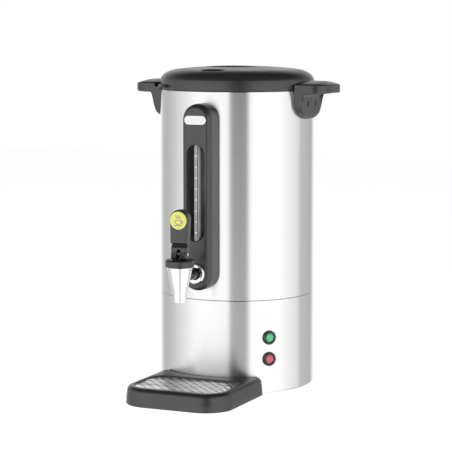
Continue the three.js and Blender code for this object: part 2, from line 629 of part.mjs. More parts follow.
function spoutBody() {
  const flare = [
    [spout.lipRadius, spout.low], [spout.neckRadius, spout.neckHeight], [spout.midRadius, spout.midHeight],
    [spout.hipRadius, spout.hipHeight], [spout.collarRadius, spout.collarLow], [spout.collarRadius, spout.top],
  ];
  const inside = [
    [spout.collarRadius - spout.wall, spout.top], [spout.collarRadius - spout.wall, spout.collarLow],
    [spout.hipRadius - spout.wall, spout.hipHeight], [spout.midRadius - spout.wall, spout.midHeight],
    [spout.seatRadius, spout.seatHigh], [spout.outlet, spout.seatLow], [spout.outlet, spout.low],
  ];
  const shankHole = forwards(drill(tap.neck + gap, -tap.place, 0, middling));
  return cut(turnedSolid([...flare, ...inside], middling), shankHole);
}

function tapBonnet() {
  const inner = boreRadius(spout.collarRadius + gap, middling);
  const under = bonnet.top - bonnet.skin;
  const hole = boreRadius(stem.radius + gap, small);
  return turnedSolid([
    [inner, bonnet.low], [bonnet.radius - bonnet.bevel, bonnet.low], [bonnet.radius, bonnet.low + bonnet.bevel],
    [bonnet.radius, bonnet.top - bonnet.bevel], [bonnet.radius - bonnet.bevel, bonnet.top],
    [hole, bonnet.top], [hole, under], [inner, under],
  ], middling);
}

function tapStem() {
  const low = cup.top - stem.cupGrip + gap;
  const collarTop = stem.collarLow + stem.collarHeight;
  const shaft = turnedSolid([
    [0, low], [stem.radius, low], [stem.radius, stem.collarLow], [stem.collar, stem.collarLow],
    [stem.collar, collarTop], [stem.radius, collarTop], [stem.radius, lever.pivot - stem.eye / 2],
    [0, lever.pivot - stem.eye / 2],
  ], small);
  const eyeShape = outline(ovalPoints(0, lever.pivot, stem.eye, stem.eye, small));
  const eye = solid(drawnAcross(eyeShape, stem.eyeHalf));
  const hole = drill(lever.pin + gap, -overrun, overrun, small).rotateY(quarter).translate(0, 0, lever.pivot);
  return cut(joined(shaft, eye), hole);
}

function tapSpring() {
  const low = stem.collarLow + stem.collarHeight + gap + spring.wire;
  const high = bonnet.top - bonnet.skin - gap - spring.wire;
  return solid(tubeAlong(new Helix(spring.coil, low, high, spring.turns), spring.wire, 5, 36));
}

function seatCup() {
  const bottom = spout.seatLow + gap;
  const hole = boreRadius(stem.radius + gap, small);
  const floor = cup.top - stem.cupGrip;
  return turnedSolid([
    [0, bottom], [cup.nose, bottom], [cup.radius, spout.seatHigh], [cup.radius, cup.shoulder],
    [cup.waist, cup.waistHeight], [cup.waist, cup.top], [hole, cup.top], [hole, floor], [0, floor],
  ], small);
}

// Lever, drawn about its pin. Its foot is an involute cam: the foot's reach below the pin grows
// by the same amount for each degree of tilt, so the stem rises in step with the lever.
const camReach = lever.pivot - bonnet.top - gap;

function camPoint(angle) {
  const reach = camReach + lever.lift * angle;
  const [sine, cosine] = [Math.sin(angle), Math.cos(angle)];
  return [-reach * sine - lever.lift * cosine, -reach * cosine + lever.lift * sine];
}

function leverBody() {
  const cam = [0, 1 / 3, 2 / 3, 1].map((share) => camPoint(share * lever.sweep * degree));
  const side = outline([
    [lever.backDeep, -camReach], ...cam,
    [-lever.neckDeep, lever.shoulderHeight], [-lever.neckDeep, lever.neckTop],
    [-lever.frontDeep, lever.lipHeight], [-lever.frontDeep, lever.topHeight - lever.topRound],
    [lever.topRound - lever.frontDeep, lever.topHeight], [lever.backDeep - lever.topRound, lever.topHeight],
    [lever.backDeep, lever.topHeight - lever.topRound],
  ]);
  const face = outline([
    [-lever.footHalf, -camReach - overrun], [lever.footHalf, -camReach - overrun],
    [lever.neckHalf, lever.shoulderHeight], [lever.waistHalf, lever.lipHeight],
    ...arcPoints(0, lever.topHeight - lever.headHalf, lever.headHalf, lever.headHalf, 0, 180, 12),
    [-lever.waistHalf, lever.lipHeight], [-lever.neckHalf, lever.shoulderHeight],
  ]);
  const slotShape = outline([
    [-lever.slotHalf, -camReach - 2 * overrun], [lever.slotHalf, -camReach - 2 * overrun],
    ...arcPoints(0, lever.slotTop - lever.slotHalf, lever.slotHalf, lever.slotHalf, 0, 180, 6),
  ]);
  const blank = solid(drawnAcross(side, lever.headHalf + overrun));
  const shaped = blank.intersect(solid(drawnForwards(face, -2 * lever.backDeep, 3 * lever.frontDeep)));
  const discRecess = forwards(drill(lever.discRadius + gap, lever.frontDeep - lever.discRecess,
    lever.frontDeep + overrun, middling)).translate(0, 0, lever.discHeight);
  return cut(
    shaped,
    drawnForwards(slotShape, -lever.slotBack, 3 * lever.frontDeep),
    drill(lever.pin + gap, -lever.headHalf, lever.headHalf, small).rotateY(quarter),
    discRecess,
  );
}

function leverDisc() {
  const back = lever.frontDeep - lever.discRecess + gap;
  return solid(forwards(rod(lever.discRadius, back, back + lever.discThick, middling))
    .translate(0, 0, lever.discHeight));
}

addPiece(standing, 'tap_shank', tapShank(), glossBlack);
addPiece(standing, 'tap_escutcheon', forwardRing(boreRadius(tap.neck + gap, middling), tap.ringRadius,
  gauge.front + gap, gauge.front + tap.ringDeep, middling), chrome);
addPiece(standing, 'tap_gasket', forwardRing(boreRadius(tap.thread + gap, middling), tap.gasket,
  tank.radius + gap, tap.blockStart - gap, middling), greyRubber);
addPiece(standing, 'tap_nut', tapNut(), plainSteel);

const tapHead = new THREE.Group();
tapHead.position.set(0, -tap.place, tapHeight);
standing.add(tapHead);
addPiece(tapHead, 'spout', spoutBody(), polishedSteel);
addPiece(tapHead, 'tap_bonnet', tapBonnet(), satinBlack);
addPiece(tapHead, 'tap_stem', tapStem(), plainSteel);
addPiece(tapHead, 'tap_spring', tapSpring(), plainSteel);
addPiece(tapHead, 'seat_cup', seatCup(), clearSilicone);

const leverGroup = new THREE.Group();
leverGroup.position.z = lever.pivot;
tapHead.add(leverGroup);
addPiece(leverGroup, 'tap_lever', leverBody(), satinBlack);
addPiece(leverGroup, 'lever_disc', leverDisc(), yellowPaint);
addPiece(leverGroup, 'lever_pin', solid(rod(lever.pin, -lever.neckHalf, lever.neckHalf, small)
  .rotateY(quarter)), chrome);

// Lid: a domed cap with a spigot, a grip bar between two finger recesses, and two locking lugs.
const domeHeight = (radius) => lid.crown - (radius * radius) / (2 * lid.domeRadius);

function lidBody() {
  const dome = [0, 0.55, 1].map((share) => [share * lid.shoulder, domeHeight(share * lid.shoulder)]);
  const pullHeight = domeHeight(lid.shoulder) - ((lid.shoulderPull - lid.shoulder) * lid.shoulder) / lid.domeRadius;
  const shoulder = new THREE.QuadraticBezierCurve(
    new THREE.Vector2(...dome[2]),
    new THREE.Vector2(lid.shoulderPull, pullHeight),
    new THREE.Vector2(lid.radius, lid.crease),
  ).getPoints(4).slice(1).map((point) => [point.x, point.y]);
  const skirtInside = lid.radius - lid.wall;
  const ceiling = domeHeight(lid.spigot) - 2 * lid.wall;
  const gripUnder = lid.gripFloor - lid.gripWall;
  const spigotInside = lid.spigot - lid.spigotWall;
  const low = tank.rim + gap;
  const cap = turnedSolid([
    ...dome, ...shoulder, [lid.radius, low], [skirtInside, low], [skirtInside, lid.crease - lid.wall],
    [lid.spigot, lid.crease - lid.wall / 2], [lid.spigot, lid.spigotLow + lid.hookHeight],
    [lid.hookRadius, lid.spigotLow + lid.hookHeight], [lid.hookRadius, lid.spigotLow],
    [spigotInside, lid.spigotLow], [spigotInside, ceiling],
    [lid.gripRadius + 2 * lid.gripWall, domeHeight(lid.gripRadius) - lid.wall],
    [lid.gripRadius + lid.gripWall, gripUnder], [0, gripUnder],
  ], wide);
  const recess = solid(rod(lid.gripRadius, lid.gripFloor, lid.crown + overrun, wide));
  const bar = solid(box(-tank.radius, tank.radius, -lid.gripBar, lid.gripBar, 0, 2 * lid.crown));
  const barHollow = box(-lid.gripRadius + 3 * lid.barWall, lid.gripRadius - 3 * lid.barWall,
    lid.barWall - lid.gripBar, lid.gripBar - lid.barWall, gripUnder - overrun, lid.crown - 2 * lid.barWall);
  const oval = (grow) => outline(ovalPoints(0, -lid.ventPlace, lid.ventLong + grow, lid.ventWide + grow, middling));
  const pad = solid(raised(oval(lid.ventPad), lid.ventFloor - lid.ventPad, lid.ventFloor + 1 / lid.ventPad));
  const vents = [-1, 0, 1].map((row) => {
    const place = row * lid.ventPitch - lid.ventPlace;
    return box(-lid.ventSlot, lid.ventSlot, place - lid.ventSlotWide, place + lid.ventSlotWide, lid.spigotLow, lid.crown);
  });
  const lugs = [1, -1].map((side) => solid(
    box(lid.radius - lid.wall / 2, lid.lugReach, -lid.lugHalf, lid.lugHalf, lid.lugLow, lid.lugHigh)
      .rotateZ(side > 0 ? lid.lugAngle * degree : lid.lugAngle * degree - Math.PI)));
  const shell = joined(cap.subtract(recess.subtract(bar)), pad);
  const opened = cut(shell, barHollow, raised(oval(0), lid.ventFloor, lid.crown + overrun), ...vents);
  return joined(opened, ...lugs);
}

function lidSeal() {
  const low = lid.spigotLow + lid.hookHeight + gap;
  return ring(boreRadius(lid.spigot + gap, wide), lid.sealRadius, low, low + lid.sealHeight, wide);
}

addPiece(standing, 'lid', lidBody(), satinBlack);
addPiece(standing, 'lid_seal', lidSeal(), clearSilicone);

// Handle, drawn on the +X side: a crowned plate on a bracket, with a slot for the lid's lug.
function handleBody() {
  const inside = tank.radius - 4 * overrun;
  const side = outline([
    [inside, handle.bracketLow], [handle.toe, handle.bracketLow],
    [handle.bracket - handle.heelIn, handle.heel],
    ...arcPoints(handle.bracket + handle.fillet, handle.underside - handle.fillet,
      handle.fillet, handle.fillet, 180, 90, 4),
    [handle.reach, handle.underside], [handle.reach, handle.outerTop],
    [(handle.reach + handle.bracket) / 2, handle.top - 1 / 2], [handle.bracket, handle.top], [inside, handle.top],
  ]);
  const round = handle.bracketCorner;
  const across = outline([
    ...arcPoints(round - handle.halfWidth, handle.bracketLow + round, round, round, 180, 270, 5),
    ...arcPoints(handle.halfWidth - round, handle.bracketLow + round, round, round, 270, 360, 5),
    [handle.halfWidth, handle.edgeTop], [handle.halfWidth / 2, (handle.edgeTop + 2 * handle.top) / 3],
    [0, handle.top], [-handle.halfWidth / 2, (handle.edgeTop + 2 * handle.top) / 3],
    [-handle.halfWidth, handle.edgeTop],
  ]);
  const plan = outline(roundedPlan([
    [inside, -handle.halfWidth, 1], [handle.reach, -handle.halfWidth, handle.corner],
    [handle.reach, handle.halfWidth, handle.corner], [inside, handle.halfWidth, 1],
  ], [1, 5, 5, 1]));
  const blank = solid(drawnForwards(side, -handle.halfWidth, handle.halfWidth))
    .intersect(solid(drawnAcross(across, handle.reach + overrun)))
    .intersect(solid(raised(plan, 0, 2 * handle.top)));
  const slot = solid(rod(handle.slotReach, handle.slotLow, handle.slotHigh, wide))
    .intersect(solid(box(0, handle.reach, -handle.slotStop, 2 * handle.halfWidth, 0, 2 * handle.top)));
  const screwCuts = [-1, 1].flatMap((end) => [
    drill(handle.screwRadius + gap, 0, handle.reach, small),
    drill(handle.headRadius + gap, handle.bracket - handle.heelIn - handle.headRecess, handle.reach, small),
  ].map((tool) => tool.rotateY(quarter).translate(0, end * handle.screwSpread, handle.screwHeight)));
  const lidCut = tank.radius + handle.lidClearance + gap;
  return cut(
    blank.subtract(slot),
    drill(tank.radius + gap, 0, tank.rim + gap, wide),
    drill(lidCut, tank.rim, 2 * handle.top, wide),
    ...screwCuts,
  );
}

const nutFace = faceInside(handle.screwSpread + handle.nutRadius);

function handleScrew() {
  const headBack = handle.bracket - handle.heelIn - handle.headRecess + gap;
  const end = nutFace - handle.nutGrip + gap;
  return turnedSolid([
    [0, end], [handle.screwRadius, end], [handle.screwRadius, headBack], [handle.headRadius, headBack],
    [handle.headRadius, headBack + handle.headHeight], [0, headBack + handle.headHeight],
  ], few);
}

function handleNut() {
  const back = nutFace - handle.nutLength;
  const blank = solid(rod(handle.nutRadius, back, nutFace, 6));
  return cut(blank, drill(handle.screwRadius + gap, nutFace - handle.nutGrip, nutFace + overrun, few));
}

[['right', 0], ['left', Math.PI]].forEach(([sideName, turn]) => {
  const side = new THREE.Group();
  side.rotation.z = turn;
  standing.add(side);
  addPiece(side, `handle_${sideName}`, handleBody(), satinBlack);
  [1, 2].forEach((number) => {
    const fixing = new THREE.Group();
    fixing.position.set(0, (2 * number - 3) * handle.screwSpread, handle.screwHeight);
    fixing.rotation.y = quarter;
    side.add(fixing);
    addPiece(fixing, `handle_screw_${sideName}_${number}`, handleScrew(), plainSteel);
    addPiece(fixing, `handle_nut_${sideName}_${number}`, handleNut(), plainSteel);
  });
});

// Drip tray: a moulded tray on the counter whose hollowed back follows the base.
function trayPlan(half, front, rear, frontCorner, rearCorner, inset) {
  const corner = Math.max(frontCorner - inset, inset / 4);
  const back = Math.max(rearCorner - inset, inset / 4);
  return roundedPlan([
    [inset - half, inset - front, corner], [half - inset, inset - front, corner],
    [half - inset, -rear - inset, back], [inset - half, -rear - inset, back],
  ], [5, 5, 2, 2]);
}

const traySides = (inset) => trayPlan(tray.halfWidth, tray.front, tray.rear, tray.frontCorner, tray.rearCorner, inset);
const recessSides = (inset) => trayPlan(
  tray.recessHalf, tray.recessFront, tray.recessRear, tray.recessCorner, tray.recessRearCorner, inset);
const levelRing = (points, height) => points.map(([x, y]) => [x, y, height]);

function dripTray() {
  const filletFoot = tray.height - tray.filletHigh;
  const fillet = [0, 30, 60, 90].map((angle) => {
    const inset = tray.draft + tray.filletIn * (1 - Math.cos(angle * degree));
    return levelRing(traySides(inset), filletFoot + tray.filletHigh * Math.sin(angle * degree));
  });
  const outer = solid(lofted([levelRing(traySides(0), 0), ...fillet]));
  const wellWall = tray.ledgeWide - tray.wall;
  const wellOuter = solid(raised(outline(recessSides(wellWall)), tray.floorLift, tray.height));
  const ledgeOuter = solid(raised(outline(recessSides(-tray.wall)), tray.ledge - tray.wall, tray.height));
  const bodyRadius = tank.radius + tray.bodyClearance;
  const under = solid(lofted([
    levelRing(traySides(tray.wall), -overrun), levelRing(traySides(tray.wall + tray.draft), filletFoot),
    levelRing(traySides(tray.wall + tray.draft + tray.filletIn), tray.height - tray.wall),
  ]));
  const backWall = solid(drill(bodyRadius + tray.wall, -2 * overrun, 2 * tray.height, wide));
  const underCut = under.subtract(wellOuter).subtract(ledgeOuter).subtract(backWall);
  return cut(
    outer.subtract(underCut),
    raised(outline(recessSides(0)), tray.ledge, tray.height + overrun),
    raised(outline(recessSides(tray.ledgeWide)), tray.floor, tray.height + overrun),
    drill(bodyRadius, -overrun, 2 * tray.height, wide),
  );
}

// True where a hole's middle lies inside the recess's rounded outline with a margin round the hole.
function insideRecess(x, y) {
  const edge = grille.margin + grille.hole / 2;
  const half = tray.recessHalf - edge;
  const front = -tray.recessFront + edge;
  const rear = -tray.recessRear - edge;
  if (Math.abs(x) > half || y < front || y > rear) return false;
  const corner = (y > (front + rear) / 2 ? tray.recessRearCorner : tray.recessCorner) - edge;
  const dx = Math.abs(x) - (half - corner);
  const dy = Math.max(front + corner - y, y - (rear - corner));
  return dx < 0 || dy < 0 || Math.hypot(dx, dy) < corner;
}

// Perforated plate: square holes in rows that are set off by half a step from one row to the next.
function dripGrille() {
  const low = tray.ledge + gap;
  const middle = -(tray.recessFront + tray.recessRear) / 2;
  const columns = Math.ceil(tray.recessHalf / grille.pitchX);
  const rows = Math.ceil((tray.recessFront + middle) / grille.pitchY);
  const half = grille.hole / 2;
  const holes = [];
  for (let row = -rows; row < rows; row += 1) {
    for (let column = -columns; column < columns; column += 1) {
      const x = (column + 1 / 2) * grille.pitchX;
      const y = middle + (row + 1 / 2) * grille.pitchY;
      if ((row + column) % 2 === 0 && insideRecess(x, y)) {
        holes.push(box(x - half, x + half, y - half, y + half, 0, tray.height));
      }
    }
  }
  return cut(solid(raised(outline(recessSides(grille.play)), low, low + grille.thick)), ...holes);
}

addPiece(percolator, 'drip_tray', dripTray(), satinBlack);
addPiece(percolator, 'drip_grille', dripGrille(), polishedSteel);

// Brewing pieces inside the tank: a pump tube on a hollow foot, its washer, the basket and its spreader.
const pumpLow = wellFloor + gap;
const washerLow = pumpLow + pump.footWall + gap;
const basketLow = pump.collarLow + pump.collarHeight + gap;
const guideBore = boreRadius(pump.radius + gap, middling);

function pumpTube() {
  const ceiling = washerLow + 1 + pump.washerRise + gap;
  const footTop = ceiling + pump.footWall;
  const collarTop = pump.collarLow + pump.collarHeight;
  return turnedSolid([
    [pump.intake, pumpLow], [pump.footRadius, pumpLow], [pump.footRadius, footTop], [pump.neckRadius, footTop],
    [pump.radius, pump.coneTop], [pump.radius, pump.collarLow - pump.collarHeight], [pump.collar, pump.collarLow],
    [pump.collar, collarTop], [pump.radius, collarTop], [pump.radius, pump.top], [pump.bore, pump.top],
    [pump.bore, pump.coneTop - pump.collarHeight], [pump.neckRadius - pump.footWall, ceiling],
    [pump.footRadius - pump.footWall, ceiling], [pump.footRadius - pump.footWall, pumpLow + pump.footWall],
    [pump.intake, pumpLow + pump.footWall],
  ], middling);
}

function filterBasket() {
  const top = basketLow + basket.height;
  const inner = basket.radius - basket.sheet;
  const body = turnedSolid([
    [guideBore, basketLow], [basket.radius, basketLow], [basket.radius, top - basket.sheet],
    [basket.radius + basket.rim, top - basket.sheet], [basket.radius + basket.rim, top], [inner, top],
    [inner, basketLow + basket.sheet], [basket.guide + basket.sheet, basketLow + basket.sheet],
    [basket.guide + basket.sheet, top], [guideBore, top],
  ], middling);
  const holes = [];
  for (let level = 1; level <= basket.holeRings; level += 1) {
    aroundAxis(6 * level, 0, (angle) => holes.push(
      polar(rod(basket.holeRadius, basketLow - overrun, basketLow + overrun, 4), level * basket.holeStep, angle)));
  }
  return cut(body, ...holes);
}

function basketLid() {
  const low = basketLow + basket.height + gap;
  const outer = basket.radius + basket.rim;
  const body = turnedSolid([
    [guideBore, low], [outer, low], [outer, low + spreader.rim], [outer - basket.sheet, low + spreader.rim],
    [outer - basket.sheet, low + basket.sheet], [spreader.collar + basket.sheet, low + basket.sheet],
    [spreader.collar + basket.sheet, low + spreader.collarRise], [guideBore, low + spreader.collarRise],
  ], middling);
  const holes = aroundAxis(spreader.holes, 0, (angle) =>
    polar(rod(spreader.holeRadius, low - overrun, low + overrun, 4), spreader.holeRing, angle));
  return cut(body, ...holes);
}

addPiece(standing, 'pump_tube', pumpTube(), polishedSteel);
addPiece(standing, 'pump_washer', solid(rod(pump.washer, washerLow, washerLow + 1, middling)), plainSteel);
addPiece(standing, 'filter_basket', filterBasket(), polishedSteel);
addPiece(standing, 'basket_lid', basketLid(), polishedSteel);

export default percolator;
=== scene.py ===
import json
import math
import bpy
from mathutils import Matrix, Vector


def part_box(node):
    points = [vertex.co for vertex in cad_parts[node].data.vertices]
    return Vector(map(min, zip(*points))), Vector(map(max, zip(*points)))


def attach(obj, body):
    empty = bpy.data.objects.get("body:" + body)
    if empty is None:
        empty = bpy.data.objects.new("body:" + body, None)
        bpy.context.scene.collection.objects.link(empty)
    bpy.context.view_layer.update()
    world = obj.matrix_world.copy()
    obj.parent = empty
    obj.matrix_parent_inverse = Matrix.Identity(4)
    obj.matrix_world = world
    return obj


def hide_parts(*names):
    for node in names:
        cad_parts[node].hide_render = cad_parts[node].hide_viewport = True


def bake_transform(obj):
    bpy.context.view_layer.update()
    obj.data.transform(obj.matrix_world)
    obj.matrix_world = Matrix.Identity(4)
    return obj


bl_info = {
    "name": "Coffee percolator",
    "version": (1, 0, 0),
    "blender": (4, 5, 0),
    "location": "3D View > Sidebar > Percolator",
    "description": "Makes the surfaces and finishes of a coffee percolator over its fixed frame",
    "category": "Object",
}

import bmesh
import bpy
import numpy as np
from bpy.props import FloatProperty, FloatVectorProperty, IntProperty, PointerProperty
from bpy.types import Operator, Panel, PropertyGroup
from mathutils import Matrix, Vector

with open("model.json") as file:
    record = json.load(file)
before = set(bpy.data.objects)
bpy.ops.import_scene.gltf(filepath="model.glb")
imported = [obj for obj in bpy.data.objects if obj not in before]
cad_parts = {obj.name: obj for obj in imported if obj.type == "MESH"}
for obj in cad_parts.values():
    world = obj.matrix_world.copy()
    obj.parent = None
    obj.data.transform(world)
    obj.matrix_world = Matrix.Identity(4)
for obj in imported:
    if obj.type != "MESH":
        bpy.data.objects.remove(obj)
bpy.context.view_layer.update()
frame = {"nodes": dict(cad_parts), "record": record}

MM = 0.001


def node_box(node):
    """A node's lowest and highest corners in millimetres."""
    low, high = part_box(node)
    return np.array(low) / MM, np.array(high) / MM


# Heights in this file count from the lower edge of the base skirt, which stands on feet this high.
RAISE = float(node_box("base_skirt")[0][2])
TANK_HIGH, SKIRT_HIGH, LID_HIGH, HANDLE_HIGH, LEVER_HIGH = (
    node_box(node)[1] for node in ("tank_body", "base_skirt", "lid", "handle_right", "tap_lever")
)
GAUGE_LOW, GAUGE_HIGH = node_box("gauge_housing")
SPOUT_LOW, SPOUT_HIGH = node_box("spout")
TRAY_LOW, TRAY_HIGH = node_box("drip_tray")
DISC_LOW, DISC_HIGH = node_box("lever_disc")
TUBE_LOW, TUBE_HIGH = node_box("sight_tube")

TANK_RADIUS = float(SKIRT_HIGH[0])
TAP_PLACE = float(-(SPOUT_LOW[1] + SPOUT_HIGH[1]) / 2)
WALL_RADIUS = 111.35  # the cylinder that the backs of the handles and of the gauge lie on
PIN_HEIGHT = 206.0  # of the lever's pin
SHARP_ANGLE = 38  # degrees between faces over which an edge stays crisp


# Shapes.


def smooth_step(value):
    """Zero below 0, one above 1, and 3t squared minus 2t cubed between them."""
    t = np.clip(value, 0.0, 1.0)
    return t * t * (3.0 - 2.0 * t)


def quadratic(start, pull, end, steps):
    """A quadratic curve: start (1 - t)^2 + 2 pull t (1 - t) + end t^2."""
    share = np.linspace(0.0, 1.0, steps + 1)[:, None]
    return start * (1 - share) ** 2 + 2 * pull * share * (1 - share) + end * share**2


def softened(profile, radius=0.5, steps=4, closed=False):
    """Rounds the corners of a profile: each corner becomes a quadratic curve that leaves one side
    and joins the next at the corner's radius over the tangent of half its angle. One radius, or one
    for each corner. A point just past each end of the curve keeps the straight sides flat."""
    points = np.asarray(profile, float)
    radii = np.broadcast_to(np.asarray(radius, float), (len(points),))
    out = []
    for i, here in enumerate(points):
        ends = not closed and i in (0, len(points) - 1)
        if ends or radii[i] <= 0:
            out.append(here[None])
            continue
        back = points[i - 1] - here
        on = points[(i + 1) % len(points)] - here
        back_length, on_length = np.linalg.norm(back), np.linalg.norm(on)
        turn = math.acos(np.clip(np.dot(back, on) / (back_length * on_length), -1, 1)) / 2
        if turn > math.radians(88):
            out.append(here[None])
            continue
        reach = min(radii[i] / math.tan(turn), 0.48 * back_length, 0.48 * on_length)
        start, end = here + back / back_length * reach, here + on / on_length * reach
        sides = (back_length, on_length)
        hold = [min(0.4 * reach, 0.25 * side - 0.5 * reach) for side in sides]
        out.append(start[None] + back[None] / back_length * hold[0])
        out.append(quadratic(start, here, end, steps))
        out.append(end[None] + on[None] / on_length * hold[1])
    return np.concatenate(out)


def arc(x, y, radius_x, radius_y, start, end, steps):
    """Points of an elliptical arc, its angles in degrees."""
    angle = np.radians(np.linspace(start, end, steps + 1))
    return np.stack([x + radius_x * np.cos(angle), y + radius_y * np.sin(angle)], axis=1)


def grid_faces(rows, columns, around, along):
    """Quads between neighbouring points of a grid, joined across its columns, its rows, or both."""
    index = np.arange(rows * columns).reshape(rows, columns)
    right = np.roll(index, -1, axis=1)
    over_right, over = np.roll(right, -1, axis=0), np.roll(index, -1, axis=0)
    faces = np.stack([index, right, over_right, over], axis=-1)
    faces = faces if along else faces[:-1]
    faces = faces if around else faces[:, :-1]
    return faces.reshape(-1, 4)


def shade(mesh, sharp=SHARP_ANGLE):
    """Shades a mesh smooth, with crisp edges over an angle in degrees."""
    mesh.shade_smooth()
    mesh.set_sharp_from_angle(angle=math.radians(sharp))


def tidy_mesh(mesh, sharp=SHARP_ANGLE):
    """Merges doubled points, turns the faces outwards and marks the edges that stay crisp."""
    work = bmesh.new()
    work.from_mesh(mesh)
    bmesh.ops.remove_doubles(work, verts=work.verts, dist=2e-6)
    bmesh.ops.dissolve_degenerate(work, edges=work.edges, dist=1e-7)
    bmesh.ops.recalc_face_normals(work, faces=work.faces)
    work.to_mesh(mesh)
    work.free()
    shade(mesh, sharp)
    mesh.update()


def new_piece(name, data):
    """An object with a mesh, curve, lamp or camera, in the scene."""
    piece = bpy.data.objects.new(name, data)
    bpy.context.scene.collection.objects.link(piece)
    return piece


def surface_piece(name, *grids, caps=(), sharp=SHARP_ANGLE):
    """Makes a piece from grids of points in millimetres. Each grid is (points, around, along), and
    caps names the rows of the first grid that a flat face closes."""
    points, faces, start = [], [], 0
    for grid, around, along in grids:
        rows, columns = grid.shape[:2]
        points.append(grid.reshape(-1, 3))
        faces.extend((grid_faces(rows, columns, around, along) + start).tolist())
        start += rows * columns
    rows, columns = grids[0][0].shape[:2]
    for row in caps:
        first = (row % rows) * columns
        faces.append(list(range(first, first + columns)))
    placed = (np.concatenate(points) + [0.0, 0.0, RAISE]) * MM
    mesh = bpy.data.meshes.new(name)
    mesh.from_pydata(placed.tolist(), [], faces)
    tidy_mesh(mesh, sharp)
    return new_piece(name, mesh)


def skin_piece(name, grid, ends=False, sharp=SHARP_ANGLE):
    """A piece from one grid whose rows are loops, with flat ends where they are asked for."""
    return surface_piece(name, (grid, True, False), caps=(0, -1) if ends else (), sharp=sharp)


def turned(profile, steps=160, centre=(0.0, 0.0)):
    """Surface of revolution: x = r cos a, y = r sin a, z = h for each profile point (r, h)."""
    angle = np.linspace(0, 2 * np.pi, steps, endpoint=False)
    radius, height = np.asarray(profile, float).T
    x = centre[0] + radius[:, None] * np.cos(angle)
    y = centre[1] + radius[:, None] * np.sin(angle)
    return np.stack([x, y, np.broadcast_to(height[:, None], x.shape)], axis=-1)


def turned_piece(name, profile, radii, steps, around, closed=False, centre=(0.0, 0.0), matrix=None,
                 sharp=SHARP_ANGLE):
    """A piece turned from a profile with softened corners, laid down by a matrix if it has one."""
    grid = turned(softened(profile, radii, steps, closed), around, centre)
    grid = grid if matrix is None else aimed(grid, matrix)
    return surface_piece(name, (grid, True, closed), sharp=sharp)


def aimed(points, matrix):
    """Turns and moves a grid that was made round the vertical, by a matrix in millimetres."""
    matrix = np.array(matrix)
    return points @ matrix[:3, :3].T + matrix[:3, 3]


def forwards_from(height):
    """Lays the vertical down so that it points to the front, along -Y, at a height."""
    return Matrix.Translation((0, 0, height)) @ Matrix.Rotation(math.radians(90), 4, "X")


def sideways_at(y, height):
    """Lays the vertical down so that it points along +X, through a point of the YZ plane."""
    return Matrix.Translation((0, y, height)) @ Matrix.Rotation(math.radians(90), 4, "Y")


def outwards_at(degrees, height, radius):
    """Lays the vertical down so that it points away from the tank, at an angle and a height."""
    turn = Matrix.Rotation(math.radians(degrees), 4, "Z")
    return turn @ Matrix.Translation((radius, 0, 0)) @ sideways_at(0, height)


def stacked(outlines, heights):
    """A loft: each outline of (x, y) points lies at its own height."""
    outlines = np.asarray(outlines, float)
    levels = np.asarray(heights, float).reshape(len(outlines), -1)[..., None]
    levels = np.broadcast_to(levels, (*outlines.shape[:2], 1))
    return np.concatenate([outlines, levels], axis=-1)


def corner_sides(count):
    """The signs of X and of Y at the four corners of a loop, each for a count of points."""
    return np.repeat([1, -1, -1, 1], count), np.repeat([1, 1, -1, -1], count)


def rounded_block(half, radius, steps=6):
    """A box with round edges: the sum of an inner box and a sphere, so a point is the inner box's
    corner on its side plus the radius times its direction."""
    quarter = np.linspace(0, np.pi / 2, steps + 1)
    polar = np.concatenate([quarter, quarter + np.pi / 2])
    level = np.concatenate([np.ones(steps + 1), -np.ones(steps + 1)])
    turn = np.concatenate([quarter + i * np.pi / 2 for i in range(4)])
    side_x, side_y = corner_sides(steps + 1)
    core = np.asarray(half, float) - radius
    sine = np.sin(polar)[:, None]
    x = side_x * core[0] + radius * sine * np.cos(turn)
    y = side_y * core[1] + radius * sine * np.sin(turn)
    z = (level * core[2] + radius * np.cos(polar))[:, None] + np.zeros_like(x)
    return np.stack([x, y, z], axis=-1)


def standing(outline, y):
    """An outline in X and Z, at one Y or at a Y for each of its points."""
    return np.stack([outline[:, 0], np.broadcast_to(y, len(outline)), outline[:, 1]], axis=1)


def stadium(half, low, high, steps):
    """An upright slot outline in X and Z whose end arcs have the given half width."""
    lower = arc(0, low + half, half, half, 180, 360, steps)
    upper = arc(0, high - half, half, half, 0, 180, steps)
    return np.concatenate([lower, upper])


def evaluated_mesh(piece):
    """A new mesh of the piece as its modifiers or its curve make it."""
    depsgraph = bpy.context.evaluated_depsgraph_get()
    return bpy.data.meshes.new_from_object(piece.evaluated_get(depsgraph))


def carve(piece, cutter):
    """Takes the cutter's volume out of the piece, and drops the cutter."""
    modifier = piece.modifiers.new("carve", "BOOLEAN")
    modifier.operation = "DIFFERENCE"
    modifier.solver = "EXACT"
    modifier.object = cutter
    carved = evaluated_mesh(piece)
    piece.modifiers.remove(modifier)
    old = piece.data
    piece.data = carved
    carved.name = piece.name
    bpy.data.meshes.remove(old)
    bpy.data.objects.remove(cutter)
    shade(carved)


def place_piece(piece, body, slot, *nodes, look=None):
    """Gives a piece its finish, which is the slot's or the look that is named, hangs it on its body
    and hides the frame's nodes that it stands for."""
    piece.data.materials.clear()
    piece.data.materials.append(finish(look or SLOT_FINISHES[slot]))
    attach(piece, body)
    if nodes:
        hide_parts(*nodes)


# Finishes.


def add_node(tree, kind, inputs=None, **settings):
    """Adds a shader node with its settings. An input is a value, or the socket that feeds it."""
    node = tree.nodes.new(f"ShaderNode{kind}")
    for name, value in settings.items():
        setattr(node, name, value)
    for socket, value in (inputs or {}).items():
        if isinstance(value, bpy.types.NodeSocket):
            tree.links.new(value, node.inputs[socket])
        else:
            node.inputs[socket].default_value = value
    return node


